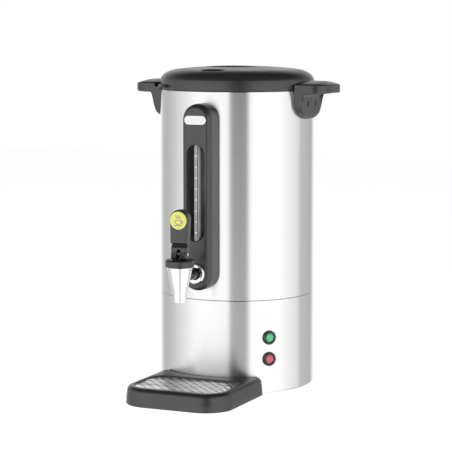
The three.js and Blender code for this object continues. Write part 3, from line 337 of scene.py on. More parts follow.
def new_finish(name, roughness, metallic=0.0, **sockets):
    """A material with one Principled shader. Returns the material, its tree and the shader."""
    material = bpy.data.materials.new(name)
    material.use_nodes = True
    tree = material.node_tree
    shader = tree.nodes["Principled BSDF"]
    for socket, value in {"Roughness": roughness, "Metallic": metallic, **sockets}.items():
        shader.inputs[socket.replace("_", " ")].default_value = value
    return material, tree, shader


def noise(tree, scale, detail=2.0, roughness=0.5, stretch=(1.0, 1.0, 1.0)):
    """Noise on the object's own coordinates, stretched along each axis. Returns its factor."""
    place = add_node(tree, "TexCoord").outputs["Object"]
    mapping = add_node(tree, "Mapping", {"Vector": place, "Scale": stretch})
    texture = {"Scale": scale, "Detail": detail, "Roughness": roughness}
    node = add_node(tree, "TexNoise", {"Vector": mapping.outputs["Vector"], **texture})
    return node.outputs["Fac"]


def scaled(colour, factor):
    """A colour made darker or lighter."""
    return tuple(min(1.0, channel * factor) for channel in colour[:3])


# The middle part of a noise factor's range, where nearly all of its values lie.
NOISE_LOW, NOISE_HIGH = 0.3, 0.7


def tinted(tree, shader, factor, colour, darkest, lightest):
    """Makes the base colour vary with a noise factor between two shades of a colour."""
    ramp = add_node(tree, "ValToRGB", {"Fac": factor})
    stops = ((NOISE_LOW, darkest), (NOISE_HIGH, lightest))
    for element, (position, share) in zip(ramp.color_ramp.elements, stops):
        element.position = position
        element.color = (*scaled(colour, share), 1)
    tree.links.new(ramp.outputs["Color"], shader.inputs["Base Color"])


def spread(tree, factor, low, high):
    """Maps a noise factor to a range of values. Returns the value socket."""
    ends = {"From Min": NOISE_LOW, "From Max": NOISE_HIGH, "To Min": low, "To Max": high}
    return add_node(tree, "MapRange", {"Value": factor, **ends}).outputs["Result"]


def relief(tree, shader, factor, strength, distance):
    """Raises the surface by a noise factor."""
    bump = add_node(tree, "Bump", {"Height": factor, "Strength": strength, "Distance": distance})
    tree.links.new(bump.outputs["Normal"], shader.inputs["Normal"])


def mottled(made, colour, grain, shades, height=None):
    """Gives a new finish a tint between two shades of a colour, and a relief, from one noise."""
    material, tree, shader = made
    factor = noise(tree, *grain)
    tinted(tree, shader, factor, colour, *shades)
    if height:
        relief(tree, shader, factor, *height)
    return material


def brushed_steel_finish(name, colour, roughness):
    """Stainless sheet with fine brush lines level round the object and faint clouds of gloss."""
    brushing = {"Anisotropic": 0.9, "Anisotropic_Rotation": 0.25}
    material, tree, shader = new_finish(name, roughness, 1.0, **brushing)
    lines = noise(tree, 2.0, 5.0, 0.6, (6.0, 6.0, 900.0))
    tinted(tree, shader, lines, colour, 0.965, 1.03)
    streaks = spread(tree, lines, roughness - 0.03, roughness + 0.03)
    clouds = spread(tree, noise(tree, 9.0), -0.008, 0.008)
    gloss = add_node(tree, "Math", {0: streaks, 1: clouds}, operation="ADD")
    tree.links.new(gloss.outputs["Value"], shader.inputs["Roughness"])
    relief(tree, shader, lines, 0.02, 0.0001)
    return material


def polished_metal_finish(name, colour, roughness):
    """Polished or plated metal with faint clouds of handling in its gloss."""
    material, tree, shader = new_finish(name, roughness, 1.0)
    clouds = noise(tree, 60.0, 3.0)
    tinted(tree, shader, clouds, colour, 0.96, 1.03)
    gloss = spread(tree, clouds, roughness * 0.8, roughness * 1.25)
    tree.links.new(gloss, shader.inputs["Roughness"])
    return material


def moulded_plastic_finish(name, colour, roughness, grain=0.12):
    """Moulded plastic with a fine spark-eroded grain and slow changes of gloss."""
    material, tree, shader = new_finish(name, roughness, Specular_IOR_Level=0.86)
    slow = noise(tree, 18.0)
    tinted(tree, shader, slow, colour, 0.92, 1.08)
    gloss = spread(tree, slow, roughness - 0.03, roughness + 0.03)
    tree.links.new(gloss, shader.inputs["Roughness"])
    if grain > 0:
        relief(tree, shader, noise(tree, 1400.0), grain, 0.0004)
    return material


def rubber_finish(name, colour, roughness=0.8):
    """Matt rubber with a dusty bloom."""
    return mottled(new_finish(name, roughness), colour, (160.0, 4.0), (0.85, 1.2), (0.1, 0.0003))


def clear_glass_finish(name, colour):
    """Drawn glass tube, very slightly wavy along its length. Its whitish base colour at part
    opacity
    is painted light: it stands for the bright surroundings that a clear tube bends and mirrors.
    """
    glass = new_finish(name, 0.08, IOR=1.5, Alpha=0.36, Coat_Weight=0.5)
    waves = (90.0, 1.0, 0.5, (1.0, 1.0, 0.3))
    return mottled(glass, colour, waves, (0.97, 1.0), (0.02, 0.0004))


def lens_finish(name, colour):
    """Tinted lens with the fine flutes of its mould."""
    return mottled(new_finish(name, 0.3, Coat_Weight=0.3), colour, (320.0,), (0.82, 1.15))


def enamel_finish(name, colour):
    """Printed enamel, smooth with a slight orange peel."""
    return mottled(new_finish(name, 0.35), colour, (420.0,), (0.97, 1.02), (0.06, 0.0002))


def tint(name, description, default):
    """A colour property."""
    return FloatVectorProperty(
        name=name, description=description, default=default, subtype="COLOR", size=3, min=0, max=1,
    )


class PercolatorFinishes(PropertyGroup):
    """Colours of the finishes."""

    steel: tint("Brushed steel", "Tank and base sheet", (0.79, 0.79, 0.785))
    black: tint("Black plastic", "Lid, handles, housing, tap and tray", (0.018, 0.018, 0.0185))
    yellow: tint("Lever disc", "Enamel disc on the tap lever", (0.80, 0.79, 0.20))
    green: tint("Upper lamp", "Lens of the upper lamp", (0.13, 0.74, 0.33))
    red: tint("Lower lamp", "Lens of the lower lamp", (0.84, 0.16, 0.19))


def finish(name):
    """The material of one of the object's finishes, made when it is first asked for."""
    title = f"{name}_finish"
    material = bpy.data.materials.get(title)
    if material is not None:
        return material
    colours = bpy.context.scene.percolator_finishes
    makers = {
        "steel_sheet": (brushed_steel_finish, colours.steel, 0.215),
        "steel_fittings": (polished_metal_finish, (0.56, 0.57, 0.58), 0.32),
        "polished_steel": (polished_metal_finish, (0.90, 0.90, 0.90), 0.14),
        "grille_steel": (polished_metal_finish, (0.93, 0.93, 0.93), 0.11),
        "darkened_steel": (polished_metal_finish, (0.10, 0.10, 0.105), 0.42),
        "bright_plate": (polished_metal_finish, (0.88, 0.88, 0.89), 0.07),
        "scale_strip": (moulded_plastic_finish, (0.09, 0.09, 0.095), 0.4, 0.05),
        "black_plastic": (moulded_plastic_finish, colours.black, 0.3),
        "glossy_black": (moulded_plastic_finish, (0.012, 0.012, 0.013), 0.16, 0.0),
        "cream_moulding": (moulded_plastic_finish, (0.76, 0.72, 0.62), 0.5),
        "grey_rubber": (rubber_finish, (0.04, 0.04, 0.04)),
        "silicone": (rubber_finish, (0.62, 0.60, 0.54), 0.5),
        # The sight tube's glass: painted light in its whitish base colour.
        "clear_glass": (clear_glass_finish, (0.86, 0.87, 0.87)),
        "yellow_enamel": (enamel_finish, colours.yellow),
        "blue_grey_ink": (enamel_finish, (0.10, 0.13, 0.25)),
        # Painted shade: the black of the stripe that stands for the sight tube's dark middle.
        "black_ink": (enamel_finish, (0.012, 0.012, 0.013)),
        "white_ink": (enamel_finish, (0.86, 0.87, 0.87)),
        "green_lens": (lens_finish, colours.green),
        "red_lens": (lens_finish, colours.red),
    }
    maker, *values = makers[name]
    return maker(title, *values)


# The finish of each material slot of the record.
SLOT_FINISHES = {
    "brushed_steel": "steel_sheet",
    "plain_steel": "steel_fittings",
    "polished_steel": "polished_steel",
    "chrome": "bright_plate",
    "satin_black": "black_plastic",
    "gloss_black": "glossy_black",
    "rubber": "grey_rubber",
    "silicone": "silicone",
    "clear_tube": "clear_glass",
    "ceramic": "cream_moulding",
    "yellow_paint": "yellow_enamel",
    "green_lens": "green_lens",
    "red_lens": "red_lens",
}


# Steel fittings made nearly black where the rest of their slot is bare. On the tap's stem
# this is painted shade, for the shade inside the lever's slot; the handle screws share it.
DARKENED_NODES = ("tap_stem", "handle_screw_left_1", "handle_screw_left_2", "handle_screw_right_1",
                  "handle_screw_right_2")


# Sizes that a user would change.


def length(name, description, millimetres):
    """A length property whose default is given in millimetres."""
    return FloatProperty(
        name=name, description=description, default=float(millimetres) * MM, min=0, unit="LENGTH",
        precision=5,
    )


def mm(value):
    """A length property's value in millimetres."""
    return value / MM


class PercolatorTank(PropertyGroup):
    """Sizes of the tank and the base ring."""

    radius: length("Radius", "Outer radius of the tank and the base", TANK_RADIUS)
    sheet: length("Sheet", "Thickness of the tank's sheet", 1.0)
    seam: length("Seam", "Height of the seam over the skirt's lower edge", SKIRT_HIGH[2] - RAISE)
    rim: length("Rim", "Height of the rolled rim", TANK_HIGH[2] - RAISE)
    facets: IntProperty(name="Facets", description="Steps round the tank", default=256, min=32)


class PercolatorLid(PropertyGroup):
    """Sizes of the lid."""

    radius: length("Radius", "Outer radius of the lid's band", 110.7)
    crown: length("Crown", "Height of the lid's middle", LID_HIGH[2] - RAISE)
    crease: length("Crease", "Height of the edge between shoulder and band", 438.0)
    grip_radius: length("Grip radius", "Radius of the finger recesses", 45.0)
    grip_bar: length("Grip bar", "Half width of the bar between the recesses", 16.0)
    grip_floor: length("Grip floor", "Height of the recesses' floor", 442.0)


class PercolatorHandles(PropertyGroup):
    """Sizes of the side handles."""

    half_width: length("Half width", "Half of a handle's width", HANDLE_HIGH[1])
    reach: length("Reach", "Distance of a handle's end from the axis", HANDLE_HIGH[0])
    underside: length("Underside", "Height of the plate's underside", 418.6)
    edge: length("Edge radius", "Rounding of the long edges", 2.0)


class PercolatorGauge(PropertyGroup):
    """Sizes of the level gauge."""

    half_width: length("Half width", "Half of the housing's width", GAUGE_HIGH[0] + 0.6)
    front: length("Front", "Distance of the front face from the axis", -GAUGE_LOW[1])
    window: length("Window", "Half width of the window", 13.3)
    tube: length("Tube", "Outer radius of the sight tube", (TUBE_HIGH[0] - TUBE_LOW[0]) / 2)
    marks: IntProperty(name="Marks", description="Number of level marks", default=8, min=0)


class PercolatorTap(PropertyGroup):
    """Sizes of the tap."""

    place: length("Place", "Distance of the spout from the tank's axis", TAP_PLACE)
    height: length("Height", "Height of the shank", 173.0)
    lever_top: length("Lever top", "Height of the lever's top", LEVER_HIGH[2] - RAISE + 1.6)
    disc: length("Disc", "Radius of the disc on the lever", (DISC_HIGH[0] - DISC_LOW[0]) / 2)


class PercolatorTray(PropertyGroup):
    """Sizes of the drip tray."""

    half_width: length("Half width", "Half of the tray's width", TRAY_HIGH[0] + 1.1)
    front: length("Front", "Distance of the tray's front from the axis", -TRAY_LOW[1])
    height: length("Height", "Height of the tray's rim", TRAY_HIGH[2])
    corner: length("Corner", "Radius of the front corners", 40.0)


class PercolatorStage(PropertyGroup):
    """Camera and light."""

    azimuth: FloatProperty(
        name="Azimuth", description="Camera angle round the object from the front", subtype="ANGLE",
        default=math.radians(24.343),
    )
    elevation: FloatProperty(
        name="Elevation", description="Camera angle over the horizon", subtype="ANGLE",
        default=math.radians(5.308),
    )
    distance: length("Distance", "Camera distance", 2571.9)
    lens: FloatProperty(
        name="Lens", description="Focal length in mm on a 36 mm sensor", default=141.26,
    )
    daylight: FloatProperty(
        name="Surrounding light", description="Strength of the light from all round", default=0.7,
        min=0,
    )
    ceiling: FloatProperty(
        name="Ceiling", description="Share of the surrounding light that comes from overhead",
        default=0.08, min=0,
    )


# Tank and base.


def tank_profile(size):
    """Drawn wall with a rolled rim, a rounded bottom and a pump well, from the axis and back."""
    radius, sheet, rim = mm(size.radius), mm(size.sheet), mm(size.rim)
    seam, inner = mm(size.seam) + 0.3, radius - sheet
    floor, lip = 146, radius - 4.6  # the bottom's height, and the rolled rim's inner radius
    corners = [
        (0, floor - 9), (34, floor - 9), (34, floor), (inner, floor), (inner, rim - sheet - 0.1),
        (lip, rim - sheet - 0.1), (lip, rim), (radius, rim), (radius, seam), (inner - 0.4, seam),
        (inner - 0.4, floor - 1), (35, floor - 1), (35, floor - 10), (0, floor - 10),
    ]
    return softened(corners, [0, 1.5, 2.5, 8, 1.2, 0.3, 0.4, 1.4, 0.25, 0.25, 2, 2, 1, 0], 5)


def skirt_profile(size):
    """Base ring with its upper and lower inward ledges, as one closed loop."""
    radius, seam = mm(size.radius), mm(size.seam)
    inner, ledge = radius - 1.2, radius - 8
    corners = [
        (radius - 0.8, 0), (radius, 1.7), (radius, seam), (ledge, seam), (ledge, seam - 1.2),
        (inner, seam - 1.2), (inner, 4.2), (inner - 5, 4.2), (inner - 5, 3), (inner, 3), (inner, 0),
    ]
    radii = [0.2, 0.8, 0.9, 0.3, 0.3, 0.5, 0.5, 0.3, 0.3, 0.3, 0.2]
    return softened(corners, radii, 4, closed=True)


def plain_block(name, low, high):
    """A plain box between two corners in millimetres."""
    low, high = np.asarray(low, float), np.asarray(high, float)
    outline = np.array([(low[0], low[1]), (high[0], low[1]), (high[0], high[1]), (low[0], high[1])])
    return skin_piece(name, stacked([outline, outline], [low[2], high[2]]), ends=True)


class PERCOLATOR_OT_tank(Operator):
    """Makes the tank and the base ring"""

    bl_idname = "percolator.tank"
    bl_label = "Tank and base"

    def execute(self, context):
        size = context.scene.percolator_tank
        tank = skin_piece("tank_wall", turned(tank_profile(size), size.facets))
        place_piece(tank, "base", "brushed_steel", "tank_body")
        skirt = surface_piece("base_ring", (turned(skirt_profile(size), size.facets), True, True))
        for node in ("power_inlet", "switch_frame"):
            low, high = node_box(node)
            flange, ground = np.array([2.2, 0, 2.2]), [0, 0, RAISE]
            carve(skirt, plain_block("window", low + flange - ground, high - flange - ground))
        place_piece(skirt, "base", "brushed_steel", "base_skirt")
        return {"FINISHED"}


# Lid.


# The radius at which the dome ends, and twice the radius of the sphere that it is a part of.
DOME_EDGE, DOME_SPAN = 84.0, 1600.0


def lid_shoulder(size, steps=26):
    """Quadratic curve from the dome's edge, level with the dome there, down to the crease."""
    crown, radius, crease = mm(size.crown), mm(size.radius), mm(size.crease)
    start = np.array([DOME_EDGE, crown - DOME_EDGE**2 / DOME_SPAN])
    run = 22.0
    pull = start + [run, -run * 2 * DOME_EDGE / DOME_SPAN]
    return quadratic(start, pull, np.array([radius - 0.1, crease]), steps)


def lid_grid(size, facets):
    """The whole lid on one polar grid. The top is the height of a shallow dome, less the finger
    recesses, which are where the radius is under the grip radius and the distance from the bar is
    positive, and less the oval steam recess with its slots. Below the crease the profile is
    turned."""
    dome_radius = np.linspace(0, DOME_EDGE, 132)
    dome = np.stack([dome_radius, mm(size.crown) - dome_radius**2 / DOME_SPAN], axis=1)
    top = np.concatenate([dome, lid_shoulder(size)[1:]])
    band = 14.1  # the height of the upright band under the crease
    radius, low = mm(size.radius), mm(size.crease) - band
    below = softened([
        top[-1], (radius, low), (radius - 2.7, low), (radius - 2.7, 436.8), (104.2, 438.1),
        (104.2, 416.7), (105.9, 416.7), (105.9, 414), (102.4, 414), (102.4, 444.6), (50.6, 452.4),
        (48.4, 440.2), (0, 440.2),
    ], [0, 0.6, 0.4, 0.8, 0.5, 0.5, 0.5, 0.8, 0.6, 2, 2, 2, 0], 4)[1:]
    grid = turned(np.concatenate([top, below]), facets)
    face = grid[: len(top)]
    x, y, height = face[..., 0], face[..., 1], face[..., 2]
    radial = np.hypot(x, y)
    finger = smooth_step((mm(size.grip_radius) - radial) / 1.8)
    finger *= smooth_step((np.abs(y) - mm(size.grip_bar)) / 9.0)
    height += (mm(size.grip_floor) - height) * finger
    half_wide, half_long, floor = 20.5, 9.4, 450.0  # the steam recess
    ahead = y + 84.0  # from its middle
    oval = smooth_step((1 - np.sqrt((x / half_wide) ** 2 + (ahead / half_long) ** 2)) * 9 / 3.2)
    height += (np.minimum(floor, height) - height) * oval
    slot_half, slot_end, slot_depth = 1.4, 12.5, 1.9
    slot_ends = smooth_step((slot_end - np.abs(x)) / 0.8)
    for row in (-4.6, 0, 4.6):
        slot = smooth_step((slot_half - np.abs(ahead - row)) / 0.5) * slot_ends
        height -= slot_depth * slot
    return grid


class PERCOLATOR_OT_lid(Operator):
    """Makes the lid, its lugs and its seal"""

    bl_idname = "percolator.lid"
    bl_label = "Lid"

    def execute(self, context):
        size = context.scene.percolator_lid
        lid = skin_piece("lid_cap", lid_grid(size, 384), sharp=50)
        place_piece(lid, "lid_cap", "satin_black", "lid")
        lug_radius, lug_height = 114.4, 429.3  # where the lugs' middles lie
        for end, turn in (("rear", 46), ("front", 226)):
            block = rounded_block((4.6, 6.5, 2.3), 1.0)
            matrix = Matrix.Rotation(math.radians(turn), 4, "Z")
            matrix = matrix @ Matrix.Translation((lug_radius, 0, lug_height))
            lug = skin_piece(f"lid_lug_{end}", aimed(block, matrix), ends=True)
            place_piece(lug, "lid_cap", "satin_black", "lid")
        seal = [(104.5, 417), (106.1, 417), (106.1, 423.2), (104.5, 423.2)]
        ring = turned_piece("lid_seal_ring", seal, 0.5, 4, 192, closed=True)
        place_piece(ring, "lid_carrier", "silicone", "lid_seal")
        return {"FINISHED"}


# Handles.


def handle_grid(size):
    """A loft of sections from the wall to the tip. A section joins a point of the underside path to
    the point of the top path with the same share: P = L + t (U - L). Its half width is the lesser
    of the plan's and the front view's at P, its long edges draw in by a quarter circle, and the top
    falls with the square of Y as a crown."""
    half, reach, under = mm(size.half_width), mm(size.reach), mm(size.underside)
    wall, tip = WALL_RADIUS, 427
    plan_corner, stem_half, stem_corner, stem_straight = 26, 38.5, 24, 407.5
    lower = np.concatenate([
        [(wall, 383), (112.2, 383)],
        softened([(112.2, 383), (114.9, 388.5), (115.7, under - 7)], [0, 7, 0], 6)[1:],
        arc(122.7, under - 7, 7, 7, 180, 90, 8)[1:],
        softened([
            (122.7, under), (136, under + 0.2), (reach, under + 1.2), (reach, tip),
        ], [0, 0, 4.6, 0], 8)[1:],
    ])
    upper = softened([
        (wall, 437), (117.8, 437), (136, 436.6), (reach, 432.4), (reach, tip),
    ], [0, 30, 40, 4.5, 0], 8)

    def even(path, count=72):
        travel = np.concatenate([[0], np.cumsum(np.linalg.norm(np.diff(path, axis=0), axis=1))])
        share = np.linspace(0, travel[-1], count)
        return np.stack([np.interp(share, travel, path[:, i]) for i in (0, 1)], axis=1)

    low_path, high_path = even(lower), even(upper)
    side = np.linspace(0, 1, 11)
    corner = np.radians(np.linspace(0, 90, 6))
    span = high_path - low_path
    tall = np.linalg.norm(span, axis=1)[:, None]
    edge = np.minimum(mm(size.edge), tall / 2 * 0.98)

    def width(x, z):
        past = np.clip(x - reach + plan_corner, 0, plan_corner)
        plan = half - plan_corner + np.sqrt(plan_corner**2 - past**2)
        below = np.clip(stem_straight - z, 0, stem_corner)
        stem = stem_half - stem_corner + np.sqrt(stem_corner**2 - below**2)
        return np.minimum(plan, stem + (half - stem_half) * smooth_step((z - under + 3) / 3))

    lift, draw_in = edge * (1 - np.cos(corner)), edge * (1 - np.sin(corner))
    straight = edge + (tall - 2 * edge) * side[1:-1]
    rise = np.concatenate([lift, straight, tall - lift[:, ::-1]], axis=1)
    draw = np.concatenate([draw_in, np.zeros((len(tall), 9)), draw_in[:, ::-1]], axis=1)
    share = np.divide(rise, tall, out=np.full_like(rise, 0.5), where=tall > 1e-6)
    x = low_path[:, :1] + span[:, :1] * share
    z = low_path[:, 1:] + span[:, 1:] * share
    y = width(x, z) - draw
    across = np.linspace(1, -1, 15)[1:-1]
    loop_x = np.concatenate([x, x[:, -1:] + 0 * across, x[:, ::-1], x[:, :1] + 0 * across], axis=1)
    loop_z = np.concatenate([z, z[:, -1:] + 0 * across, z[:, ::-1], z[:, :1] + 0 * across], axis=1)
    loop_y = np.concatenate([y, y[:, -1:] * across, -y[:, ::-1], -y[:, :1] * across], axis=1)
    inner = [(loop_x[:1], loop_y[:1] * fold, loop_z[:1]) for fold in (0, 0.25, 0.5, 0.75)]
    loop_x, loop_y, loop_z = (np.concatenate([ring[i] for ring in inner] + [all_of])
                              for i, all_of in enumerate((loop_x, loop_y, loop_z)))
    crown = 4.4 * (loop_y / half) ** 2 * smooth_step((loop_z - 424) / 7)
    at_wall = loop_x <= wall + 0.01
    hug = np.sqrt(np.where(loop_z > 424, 112.5, wall) ** 2 - loop_y**2)
    loop_x = np.where(at_wall, hug, np.maximum(loop_x, hug + 0.3))
    return np.stack([loop_x, loop_y, loop_z - crown], axis=-1)


def lug_slot_cutter(name):
    """An annular sector that opens past the handle's side."""
    start, end, low, high = -4.2, 34, 426.4, 432.2
    outer, inner = arc(0, 0, 120, 120, start, end, 23), arc(0, 0, 100, 100, end, start, 23)
    outline = np.concatenate([outer, inner])
    return skin_piece(name, stacked([outline, outline], [low, high]), ends=True)


class PERCOLATOR_OT_handles(Operator):
    """Makes the two side handles, with their slots and screw holes"""

    bl_idname = "percolator.handles"
    bl_label = "Handles"

    def execute(self, context):
        size = context.scene.percolator_handles
        for side, turn in (("right", 0), ("left", 180)):
            handle = skin_piece(f"handle_{side}_shell", handle_grid(size), sharp=42)
            carve(handle, lug_slot_cutter("slot"))
            near, far, hole_radius, hole_height = 112.5, 125, 4.1, 404
            for place in (-14, 14):
                hole = turned([(0, near), (hole_radius, near), (hole_radius, far), (0, far)], 32)
                hole = aimed(hole, sideways_at(place, hole_height))
                carve(handle, skin_piece("screw_hole", hole))
            if turn:
                handle.data.transform(Matrix.Rotation(math.radians(turn), 4, "Z"))
            place_piece(handle, "base", "satin_black", f"handle_{side}")
        return {"FINISHED"}


# Level gauge.


# Heights of the window's ends, and distance of the recess's floor behind it from the axis.
WINDOW_LOW, WINDOW_HIGH, RECESS_FLOOR = 217.7, 351.3, 127.6


def gauge_grid(size, low=148.0, high=407.5):
    """Rings of an upright slot outline, carried from the wall out over the round front edge, across
    the face and down into the window. The wall rings lie on the tank's cylinder: y = -sqrt(R
    squared - x squared)."""
    half, front, window = mm(size.half_width), mm(size.front), mm(size.window)
    rings = []

    def ring(inset, depth, low_at=low, high_at=high, width=None):
        width = half - inset if width is None else width
        outline = stadium(width, low_at + inset, high_at - inset, 28)
        y = -np.sqrt(WALL_RADIUS**2 - outline[:, 0] ** 2) if depth is None else -depth
        rings.append(standing(outline, y))

    ring(half - 0.001, None)
    ring(half / 2, None)
    ring(0, None)
    ring(0, front - 20)
    across, deep, rim = 7.0, 10.0, 0.8  # the front edge's rounding, and the window's
    for angle in np.radians(np.linspace(0, 90, 13)):
        ring(across * (1 - math.cos(angle)), front - deep * (1 - math.sin(angle)))
    for angle in np.radians(np.linspace(0, 90, 5)):
        grow, sink = rim * (1 - math.sin(angle)), rim * (1 - math.cos(angle))
        ring(0, front - sink, WINDOW_LOW - grow, WINDOW_HIGH + grow, window + grow)
    slope = ((1.0, 137.5), (3.4, 132.6), (4.6, 130.3), (6.2, 128.6), (6.7, RECESS_FLOOR))
    for inward, depth in slope:
        ring(0, depth, WINDOW_LOW + inward, WINDOW_HIGH - inward, window - inward)
    ring(0, RECESS_FLOOR, WINDOW_LOW + window - 0.001, WINDOW_HIGH - window + 0.001, 0.001)
    return np.array(rings)


def flat_bar(name, low, high, radius=0.12):
    """A thin rounded block between two corners in millimetres."""
    low, high = np.asarray(low, float), np.asarray(high, float)
    block = rounded_block((high - low) / 2, radius, 2) + (low + high) / 2
    return skin_piece(name, block, ends=True)


def pill_plate(half_long, half_tall, back, thick, height, edge=0.3):
    """A flat plate with half-round ends, lying on a face that looks forwards: rings of its outline
    that draw in over its round front edge."""
    rings = []
    middle = half_tall - 0.001
    for inset, depth in [
        (middle, 0), (0, 0), (0, thick - edge), (edge * 0.3, thick - edge * 0.3), (edge, thick),
        (middle, thick),
    ]:
        outline = stadium(half_tall - inset, -half_long + inset, half_long - inset, 20)
        lying = np.stack([outline[:, 1], height - outline[:, 0]], axis=1)
        rings.append(standing(lying, -back - depth))
    return np.array(rings)


class PERCOLATOR_OT_gauge(Operator):
    """Makes the level gauge with its tube, scale and bare badge plate"""

    bl_idname = "percolator.gauge"
    bl_label = "Level gauge"

    def execute(self, context):
        size = context.scene.percolator_gauge
        front = mm(size.front)
        housing = skin_piece("gauge_shell", gauge_grid(size), sharp=50)
        place_piece(housing, "base", "satin_black", "gauge_housing")
        low, high = node_box("gauge_scale")
        strip = flat_bar("gauge_strip", low - [0, 0, RAISE], high - [0, 0, RAISE])
        place_piece(strip, "base", "satin_black", "gauge_scale", look="scale_strip")
        radius, bore = mm(size.tube), mm(size.tube) - 3.1
        place = (0, float(TUBE_LOW[1] + TUBE_HIGH[1]) / 2)
        bottom, top = TUBE_LOW[2] - RAISE, TUBE_HIGH[2] - RAISE
        wall = [(radius, bottom), (radius, top), (bore, top), (bore, bottom)]
        tube = turned_piece("glass_tube", wall, 0.3, 3, 64, closed=True, centre=place)
        place_piece(tube, "base", "clear_tube", "sight_tube")
        lowest, highest = 229.4, 335.6
        for mark, height in enumerate(np.linspace(lowest, highest, size.marks), 1):
            low, high = (-1.5, -139.6, height - 0.6), (1.5, -139.1, height + 0.6)
            tick = flat_bar(f"level_mark_{mark}", low, high)
            place_piece(tick, "base", "satin_black", look="white_ink")
        # A black stripe down the tube is painted shade: it stands for the dark middle that the
        # glass tube shows.
        line = flat_bar("tube_shade_line", (1.45, -139.15, 222.5), (2.45, -138.75, 348.5))
        place_piece(line, "base", "satin_black", look="black_ink")
        badge = 385.3  # the height of the plate's middle
        rim = skin_piece("badge_rim", pill_plate(16.2, 6.0, front - 0.05, 0.55, badge))
        place_piece(rim, "base", "chrome")
        face = skin_piece("badge_face", pill_plate(15.2, 5.0, front + 0.3, 0.35, badge, 0.1))
        place_piece(face, "base", "chrome", look="white_ink")
        return {"FINISHED"}


# Tap.


def lever_grid(size):
    """Level rings, each a rounded rectangle whose width and whose front and back are read from the
    lever's front and side outlines, from the cam foot up to the round head."""
    top, foot, head = mm(size.lever_top), PIN_HEIGHT - 7.1, 13.4
    centre = top - head
    rows = np.concatenate([
        np.linspace(foot, foot + 2.4, 4), np.linspace(foot + 2.5, 222.9, 48),
        np.linspace(223, centre, 16), centre + head * np.sin(np.radians(np.linspace(4, 90, 26))),
    ])
    width_at = [(foot, 10.6), (210, 11.8), (216, 12.1), (221, 12.3), (centre, head)]
    width = np.interp(rows, *zip(*width_at))
    round_width = np.sqrt(np.clip(head**2 - (rows - centre) ** 2, 0, None))
    width = np.maximum(np.where(rows > centre, round_width, width), 0.01)
    front_at = [
        (foot, -2.4), (199.6, -5.2), (201.4, -7.8), (204.5, -6.3), (209.5, -4.4), (215.0, -4.2),
        (215.8, -3.4), (218.2, -0.6), (221.4, -4.9), (222.2, -5.4), (top - 3, -4.0),
        (top - 0.8, -2.9), (top, -0.5),
    ]
    back_at = [(foot, 7.0), (210, 7.0), (top - 3, 9.6), (top - 0.8, 8.5), (top, 6.1)]
    front = np.interp(rows, *zip(*front_at))
    back = np.interp(rows, *zip(*back_at))
    edge = 2.2
    radius = np.minimum(np.minimum(edge, width), (back - front) / 2 - 0.05)
    turn = np.concatenate([np.radians(np.linspace(90 * i, 90 * i + 90, 8)) for i in range(4)])
    side_x, side_y = corner_sides(8)
    middle, half_deep = ((front + back) / 2)[:, None], ((back - front) / 2 - radius)[:, None]
    x = side_x * (width - radius)[:, None] + radius[:, None] * np.cos(turn)
    y = middle + side_y * half_deep + radius[:, None] * np.sin(turn) - mm(size.place)
    z = np.broadcast_to(rows[:, None], x.shape)
    return np.stack([x, y, z], axis=-1)


def stroke(name, path, width, front, thick=0.18):
    """A printed line: a flat ribbon along a path in X and Z, on a face that looks forwards."""
    path = np.asarray(path, float)
    along = np.gradient(path, axis=0)
    along /= np.linalg.norm(along, axis=1, keepdims=True)
    across = np.stack([-along[:, 1], along[:, 0]], axis=1) * width / 2
    left, right, top = path + across, path - across, front + thick
    sides = ((left, front), (right, front), (right, top), (left, top))
    grid = np.stack([standing(side, -depth) for side, depth in sides], axis=1)
    return skin_piece(name, grid, ends=True)


def coil(place, low, high, radius=4.0, wire=0.6, turns=4.5):
    """Round wire along a helix: the centre line is (r cos t, r sin t, rising evenly with t), and
    the wire's circle at each step lies in the plane of the outward direction and of that direction
    crossed with the tangent."""
    angle = np.linspace(0, turns * 2 * np.pi, 145)
    rise = (high - low - 2 * wire) / angle[-1]
    cosine, sine = np.cos(angle), np.sin(angle)
    outward = np.stack([cosine, sine, np.zeros_like(angle)], axis=1)
    tangent = np.stack([-radius * sine, radius * cosine, np.full_like(angle, rise)], axis=1)
    across = np.cross(outward, tangent / np.linalg.norm(tangent, axis=1)[:, None])
    centre = radius * outward + [0.0, -place, low + wire] + np.outer(rise * angle, (0.0, 0.0, 1.0))
    turn = np.linspace(0, 2 * np.pi, 12, endpoint=False)[None, :, None]
    round_wire = np.cos(turn) * outward[:, None] + np.sin(turn) * across[:, None]
    return centre[:, None] + wire * round_wire


